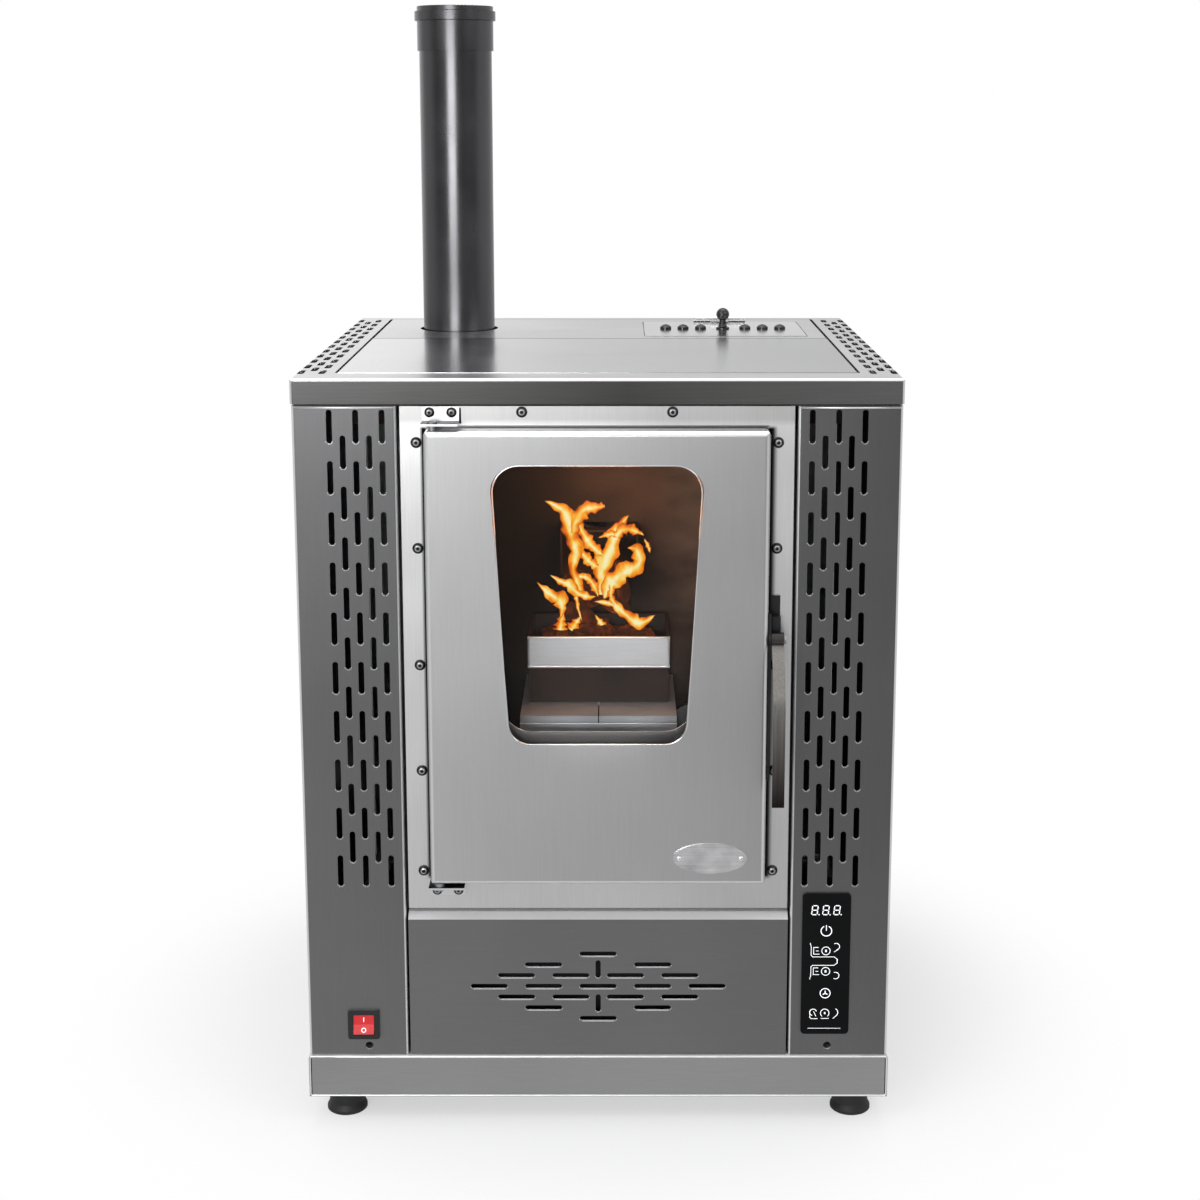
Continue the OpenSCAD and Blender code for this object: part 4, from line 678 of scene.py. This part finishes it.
def hem(name, side):
    """A near-white rod over a casing's front: a painted highlight for the light that the rolled hem catches."""
    inner, outer, level, radius = 188, 282, 716.5, 0.85
    form = bmesh.new()
    centre = Vector((side * (inner + outer) / 2, SHEET_Y - 0.1, level)) * MM
    lie = Matrix.Translation(centre) @ Matrix.Rotation(math.pi / 2, 4, "Y")
    bmesh.ops.create_cone(form, cap_ends=True, segments=16, radius1=radius * MM, radius2=radius * MM,
                          depth=(outer - inner) * MM, matrix=lie)
    return piece(name, form, "painted highlight edge", "stove", smooth=True)


# Painted highlights on the lower rims of the slots, drawn on the face of the sheet in millimetres
RIM = (SHEET_Y - 0.1, SHEET_Y + 0.2)
RIM_WIDE = 0.6


def lower_rim(form, x, z, run, slot_wide):
    """The painted highlight on the lower rim of a round-ended slot: run is its straight part from side to side.
    """
    radius = (slot_wide + RIM_WIDE) / 2
    arc(form, (x - run / 2, z), radius, 190, 270, RIM_WIDE, RIM, 6)
    arc(form, (x + run / 2, z), radius, 270, 350, RIM_WIDE, RIM, 6)
    if run:
        bar(form, (x - run / 2, z - radius), (x + run / 2, z - radius), RIM_WIDE, RIM)


def column_rims():
    """Painted highlights on the rims of the upright slots of both casings: five columns each, every other one
    half a step lower.
    """
    middle, top, step_x, step_z = 224.5, 698.8, 12.25, 48.33
    long, wide, rows = 32, 5.5, 10
    form = bmesh.new()
    for side in (-1, 1):
        for i in range(-2, 3):
            odd = i % 2
            for k in range(rows - odd):
                foot = top - (k + odd / 2) * step_z - (long - wide) / 2
                lower_rim(form, side * (middle + i * step_x), foot, 0, wide)
    return piece("column_slot_rim_highlights", form, "painted highlight edge", "stove")


def drawer_rims():
    """Painted highlights on the rims of the drawer's slots: rows that shorten to the top and foot, and an
    upright slot in each half.
    """
    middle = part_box("drawer_front")[0].z / MM + 71.3
    long, wide, row_step = 36, 5, 11.2
    upright_long, upright_z = 18.6, 17.7
    form = bmesh.new()
    for row in range(-3, 4):
        count = (4, 3, 1, 0)[abs(row)]
        spread = long * (1.48 if abs(row) == 2 else 0.74)
        for i in range(-count, count + 1, 2):
            lower_rim(form, i * spread, middle + row * row_step, long - wide, wide)
    for side in (-1, 1):
        lower_rim(form, 0, middle + side * upright_z - (upright_long - wide) / 2, 0, wide)
    return piece("drawer_slot_rim_highlights", form, "painted highlight edge", "drawer")


# Fire. Each tongue has a depth, and steps of (across, up, half width), in millimetres from the middle of
# the pot's rim.
TONGUES = [
    (-6, [(-13, 28, 2), (-20, 44, 4), (-25, 60, 4.5), (-21, 76, 6), (-26, 90, 8), (-27, 104, 8),
          (-33, 117, 7), (-42, 125, 4), (-53, 129, 0)]),
    (-9, [(-25, 96, 4), (-22, 108, 7), (-15, 119, 7), (-5, 123, 5.5), (4, 124, 4), (7, 125, 0)]),
    (-3, [(-23, 112, 4), (-17, 100, 4), (-10, 88, 5.5), (-2, 79, 5), (5, 73, 2)]),
    (4, [(2, 24, 3), (6, 40, 7), (4, 55, 9), (9, 70, 9), (15, 84, 7), (18, 95, 7), (24, 104, 5),
         (31, 112, 0)]),
    (1, [(17, 92, 4), (26, 99, 6), (36, 97, 4.5), (46, 92, 0)]),
    (0, [(20, 95, 3), (10, 93, 3.5), (0, 90, 0)]),
    (-8, [(6, 30, 3), (13, 45, 8), (23, 55, 9), (34, 60, 8), (42, 68, 6.5), (38, 80, 5.5), (29, 82, 0)]),
    (-12, [(-4, 27, 0), (6, 26.5, 2.5), (16, 24, 4), (25, 17, 4.5), (35, 9, 6), (45, 7, 5.5), (57, 14, 0)]),
    (-11, [(14, 44, 3), (13, 33, 3), (19, 22, 2)]),
    (-10, [(-61, 47, 0), (-50, 37, 4.5), (-38, 29, 8), (-36, 18, 3), (-38, 8, 0)]),
    (-7, [(-48, 54, 0), (-38, 48, 3), (-29, 44, 5), (-20, 35, 4.5), (-10, 31, 3.5), (-2, 31, 0)]),
    (-12, [(-38, -1, 6), (-37, 6, 5), (-34, 15, 0)]),
    (-14, [(-27, -1, 6), (-22, 6, 4), (-17, 13, 0)]),
    (-9, [(6, -1, 4), (2, 6, 3), (-3, 14, 0)]),
    (-6, [(-22, 34, 2.5), (-20, 20, 1.6), (-16, 6, 0)]),
    (-4, [(-24, 52, 4), (-10, 50, 3.5), (-3, 40, 4), (0, 30, 0)]),
    (3, [(52, 74, 0), (50, 81, 2.2), (46, 88, 0)]),
    (-5, [(0, 62, 3), (-7, 66, 5), (-15, 74, 4), (-21, 82, 0)]),
]
FIRE = Vector((-1.0, -96.0, 463.0))
FLAME_SCALE = 1.03


def smooth_steps(steps, t):
    """A point on the smooth run through a tongue's steps, for t from 0 to 1."""
    place_on = t * (len(steps) - 1)
    i = min(int(place_on), len(steps) - 2)
    f = place_on - i
    before, a, b, after = (Vector(steps[max(0, min(len(steps) - 1, k))]) for k in (i - 1, i, i + 1, i + 2))
    return 0.5 * ((2 * a) + (b - before) * f + (2 * before - 5 * a + 4 * b - after) * f ** 2
                  + (3 * a - before - 3 * b + after) * f ** 3)


def flames():
    """Ragged tongues: each is a sphere drawn out along its run and flattened to the front."""
    form = bmesh.new()
    warmth = form.verts.layers.float.new("warmth")
    for k, (depth, steps) in enumerate(TONGUES):
        made = bmesh.ops.create_uvsphere(form, u_segments=20, v_segments=46, radius=1)["verts"]
        for v in made:
            t = min(max((v.co.z + 1) / 2, 0.0), 1.0)
            girth = math.sqrt(max(1 - v.co.z ** 2, 0)) + 1e-6
            across, deep = v.co.x / girth, v.co.y / girth
            here = smooth_steps(steps, t)
            ahead = smooth_steps(steps, min(t + 0.02, 1)) - smooth_steps(steps, max(t - 0.02, 0))
            side = Vector((-ahead.y, ahead.x, 0)).normalized()
            waves = 0.24 * math.sin(t * 21 + k * 1.7 + across * 1.2)
            ripples = 0.13 * math.sin(t * 47 + k * 2.9 - across)
            wide = max(here.z, 0.0) * (1 + waves + ripples) * min(1.0, girth * 2.2)
            v[warmth] = (1 - abs(across)) * 0.75 + 0.12 * min(wide / 8, 1) + (0.12 if here.y < 90 else 0.0)
            x = (here.x + side.x * across * wide) * FLAME_SCALE
            y = depth + deep * min(wide * 0.45, 2.6) + 2.2 * math.sin(t * 5 + k)
            z = (here.y + side.y * across * wide) * FLAME_SCALE
            v.co = Vector((FIRE.x + x, FIRE.y + y, FIRE.z + z)) * MM
    made = piece("flames", form, "flame", "pot", smooth=True)
    made.visible_shadow = False
    return made


def lumps():
    """Charred lumps and pellets that glow in the pot."""
    form = bmesh.new()
    warmth = form.verts.layers.float.new("warmth")
    rng = random.Random(7)
    # Across, back, up, half the length and the turn of each lump
    big = [(-24, 4, 14, 22, 20), (-6, 9, 26, 19, -15), (14, 6, 24, 22, 25), (26, 3, 38, 15, 78),
           (-14, 12, 42, 17, 62), (4, 12, 47, 15, -40), (24, 9, 54, 14, 70), (-28, 9, 46, 9, 30)]
    for x, y, z, size, turn in big:
        made = bmesh.ops.create_icosphere(form, subdivisions=3, radius=1)["verts"]
        bumps = [Vector([rng.uniform(-1, 1) for _ in range(3)]).normalized() for _ in range(9)]
        for v in made:
            flat = max(0.0, max(v.co.normalized().dot(b) for b in bumps) - 0.72)
            v.co *= 1 - 0.7 * flat
            v[warmth] = 0.42 + 0.25 * max(0.0, -v.co.z)
        bmesh.ops.scale(form, verts=made, vec=Vector((size, size * 0.42, size * 0.5)) * MM)
        bmesh.ops.rotate(form, verts=made, cent=(0, 0, 0), matrix=Matrix.Rotation(math.radians(turn), 3, "Y"))
        bmesh.ops.translate(form, verts=made, vec=(FIRE + Vector((x, y, z))) * MM)
    pellets, radius, length = 260, 3, 13
    half_width, half_depth = 54, 29
    for _ in range(pellets):
        made = bmesh.ops.create_cone(form, cap_ends=True, segments=8, radius1=radius, radius2=radius,
                                     depth=length)["verts"]
        for v in made:
            v[warmth] = 0.5
        heading = Matrix.Rotation(rng.uniform(0, math.pi), 3, "Z")
        fallen = Matrix.Rotation(rng.uniform(1.2, 1.9), 3, "X")
        bmesh.ops.rotate(form, verts=made, cent=(0, 0, 0), matrix=heading @ fallen)
        x, y = rng.uniform(-half_width, half_width), rng.uniform(-half_depth, half_depth)
        level = rng.uniform(-30, -10) + 10 * (1 - (x / 60) ** 2)
        bmesh.ops.translate(form, verts=made, vec=(x, FIRE.y + y, FIRE.z + level))
        bmesh.ops.scale(form, verts=made, vec=(MM, MM, MM))
    return piece("ember_bed", form, "ember", "pot")


digits()
symbols()
rocker_marks()
bead("window_edge", (98.8, 665.9, 25), (83.8, 398.7, 21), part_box("door_shell")[0].y / MM + 0.35, 0.7,
     "polished stainless", "door")
column_rims()
drawer_rims()
hem("left_hem_highlight", -1)
hem("right_hem_highlight", 1)
low, high = (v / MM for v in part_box("plinth"))
# A painted highlight round the plinth's front, as a near-white bead
bead("plinth_edge_highlight", (high.x - 1.2, high.z - 1, 2), (high.x - 1.2, low.z + 1, 2), low.y + 0.2, 0.8,
     "painted highlight edge", "stove")
# A painted highlight round the pot's front, as a near-white bead
bead("pot_bead_highlight", (70.9, 462.4, 3), (70.9, 432.1, 3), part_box("burn_pot")[0].y / MM + 0.5, 1.2,
     "painted highlight edge", "pot")
flames()
lumps()


# Stage
def seen_level(tree, glossy, diffuse=0.55):
    """1 for the camera and through glass, one level for reflections and one for soft light."""
    ray = add(tree, "ShaderNodeLightPath").outputs
    seen = joined(tree, "MAXIMUM", ray["Is Camera Ray"], ray["Is Transmission Ray"])
    level = add(tree, "ShaderNodeMix", {"Factor": ray["Is Glossy Ray"], "A": diffuse, "B": glossy})
    return add(tree, "ShaderNodeMix", {"Factor": seen, "A": level, "B": 1.0})


def stage_floor():
    """A pale floor that keeps the soft shadow near the stove and runs out to white. Lengths are in metres."""
    radius, shadow_end, white_from = 9, 0.3, 0.62
    form = bmesh.new()
    bmesh.ops.create_circle(form, cap_ends=True, segments=96, radius=radius)
    mesh = bpy.data.meshes.new("floor")
    form.to_mesh(mesh)
    form.free()
    floor = bpy.data.objects.new("floor", mesh)
    bpy.context.collection.objects.link(floor)
    tree = material("pale studio floor")
    where = add(tree, "ShaderNodeTexCoord").outputs["Object"]
    far = add(tree, "ShaderNodeVectorMath", {0: where}, operation="LENGTH").outputs["Value"]
    fade = add(tree, "ShaderNodeMapRange", {
        "Value": far, "From Min": shadow_end, "From Max": white_from, "To Min": 0.5, "To Max": 1.0,
    }, interpolation_type="SMOOTHSTEP")
    matt = add(tree, "ShaderNodeBsdfDiffuse", {"Color": colour("#f4f4f4")})
    white = add(tree, "ShaderNodeEmission", {"Color": colour(WHITE), "Strength": seen_level(tree, 0.6)})
    mixed = add(tree, "ShaderNodeMixShader", {"Fac": fade, 1: matt, 2: white})
    add(tree, "ShaderNodeOutputMaterial", {"Surface": mixed})
    mesh.materials.append(finishes["pale studio floor"])


def studio_world():
    """White for the camera. Reflections see a dim room, darkest low in front and brightest behind left."""
    world = bpy.data.worlds.new("studio")
    bpy.context.scene.world = world
    world.use_nodes = True
    tree = world.node_tree
    tree.nodes.clear()
    way = add(tree, "ShaderNodeTexCoord").outputs["Generated"]
    x, y, z = add(tree, "ShaderNodeSeparateXYZ", {"Vector": way}).outputs
    behind = add(tree, "ShaderNodeMapRange", {
        "Value": y, "From Min": -0.5, "From Max": 0.5, "To Min": 0.62, "To Max": 0.72,
    })
    above = add(tree, "ShaderNodeMapRange", {
        "Value": z, "From Min": 0.2, "From Max": 0.8, "To Min": 0.0, "To Max": 0.35,
    })
    left = add(tree, "ShaderNodeMapRange", {
        "Value": x, "From Min": -0.02, "From Max": -0.11, "To Min": 0.0, "To Max": 0.4,
    })
    back_left = joined(tree, "MULTIPLY", left, behind)
    far = add(tree, "ShaderNodeMath", {0: y, 1: 0.5}, operation="GREATER_THAN")
    level = add(tree, "ShaderNodeMath", {0: z}, operation="ABSOLUTE")
    band = add(tree, "ShaderNodeMapRange", {
        "Value": level, "From Min": 0.12, "From Max": 0.3, "To Min": -0.46, "To Max": 0.0,
    })
    front = add(tree, "ShaderNodeMapRange", {"Value": y, "From Min": -0.1, "From Max": -0.5})
    room = add(tree, "ShaderNodeMath", {0: band, 1: front, 2: behind}, operation="MULTIPLY_ADD")
    room = add(tree, "ShaderNodeMath", {0: room, 1: above}, operation="ADD")
    room = add(tree, "ShaderNodeMath", {0: back_left, 1: far, 2: room}, operation="MULTIPLY_ADD")
    back = add(tree, "ShaderNodeBackground", {"Color": colour(WHITE), "Strength": seen_level(tree, room)})
    add(tree, "ShaderNodeOutputWorld", {"Surface": back})


def stand(name, data, at, target=None):
    """Puts a lamp or a camera in the scene at a place in metres, aimed at a target if it has one."""
    made = bpy.data.objects.new(name, data)
    made.location = at
    if target:
        made.rotation_mode = "QUATERNION"
        made.rotation_quaternion = (Vector(target) - Vector(at)).to_track_quat("-Z", "Y")
    bpy.context.collection.objects.link(made)
    return made


def softbox(name, at, target, width, height, watts):
    """A soft rectangular lamp."""
    data = bpy.data.lights.new(name, "AREA")
    data.shape = "RECTANGLE"
    data.size = width
    data.size_y = height
    data.energy = watts
    stand(name, data, at, target)


def fire_glow():
    """Warm light of the fire on the walls round it."""
    data = bpy.data.lights.new("fire glow", "POINT")
    data.color = colour("#ffb47e")[:3]
    data.energy = 0.7
    data.shadow_soft_size = 0.04
    stand("fire glow", data, (FIRE + Vector((4, -22, 133))) * MM)


def pot_spot():
    """A snooted spot that shines through the window on the pot and its stand."""
    data = bpy.data.lights.new("snooted spot", "SPOT")
    data.energy = 41
    data.spot_size = math.radians(7.4)
    data.spot_blend = 0.5
    data.shadow_soft_size = 0.02
    stand("snooted spot", data, (0.0, -1.6, 0.75), (0.0, -0.15, 0.432))


def camera():
    """The photograph's view: from a little above the cooking surface, with a long lens that looks down."""
    data = bpy.data.cameras.new("camera")
    data.sensor_width = 36
    data.lens = 61.0
    data.shift_x = -0.0132
    data.shift_y = -0.092
    looks_down = 10.7
    made = stand("camera", data, (0.0173, -2.1381, 0.9919))
    made.rotation_mode = "XYZ"
    made.rotation_euler = (math.radians(90 - looks_down), 0, 0)
    bpy.context.scene.camera = made


stage_floor()
studio_world()
camera()
softbox("key softbox", (-1.6, -2.0, 2.3), (0, 0, 0.5), 1.6, 1.6, 28)
softbox("fill softbox", (2.0, -1.6, 2.1), (0, 0, 0.5), 1.4, 1.0, 14)
softbox("top softbox", (0, 0.2, 2.8), (0, 0, 0.7), 1.8, 1.4, 18)
softbox("strip beside the camera", (-0.66, -2.5, 0.95), (-0.16, 0.16, 0.9), 1.1, 0.5, 21)
fire_glow()
pot_spot()
bpy.context.scene.view_settings.view_transform = "Standard"
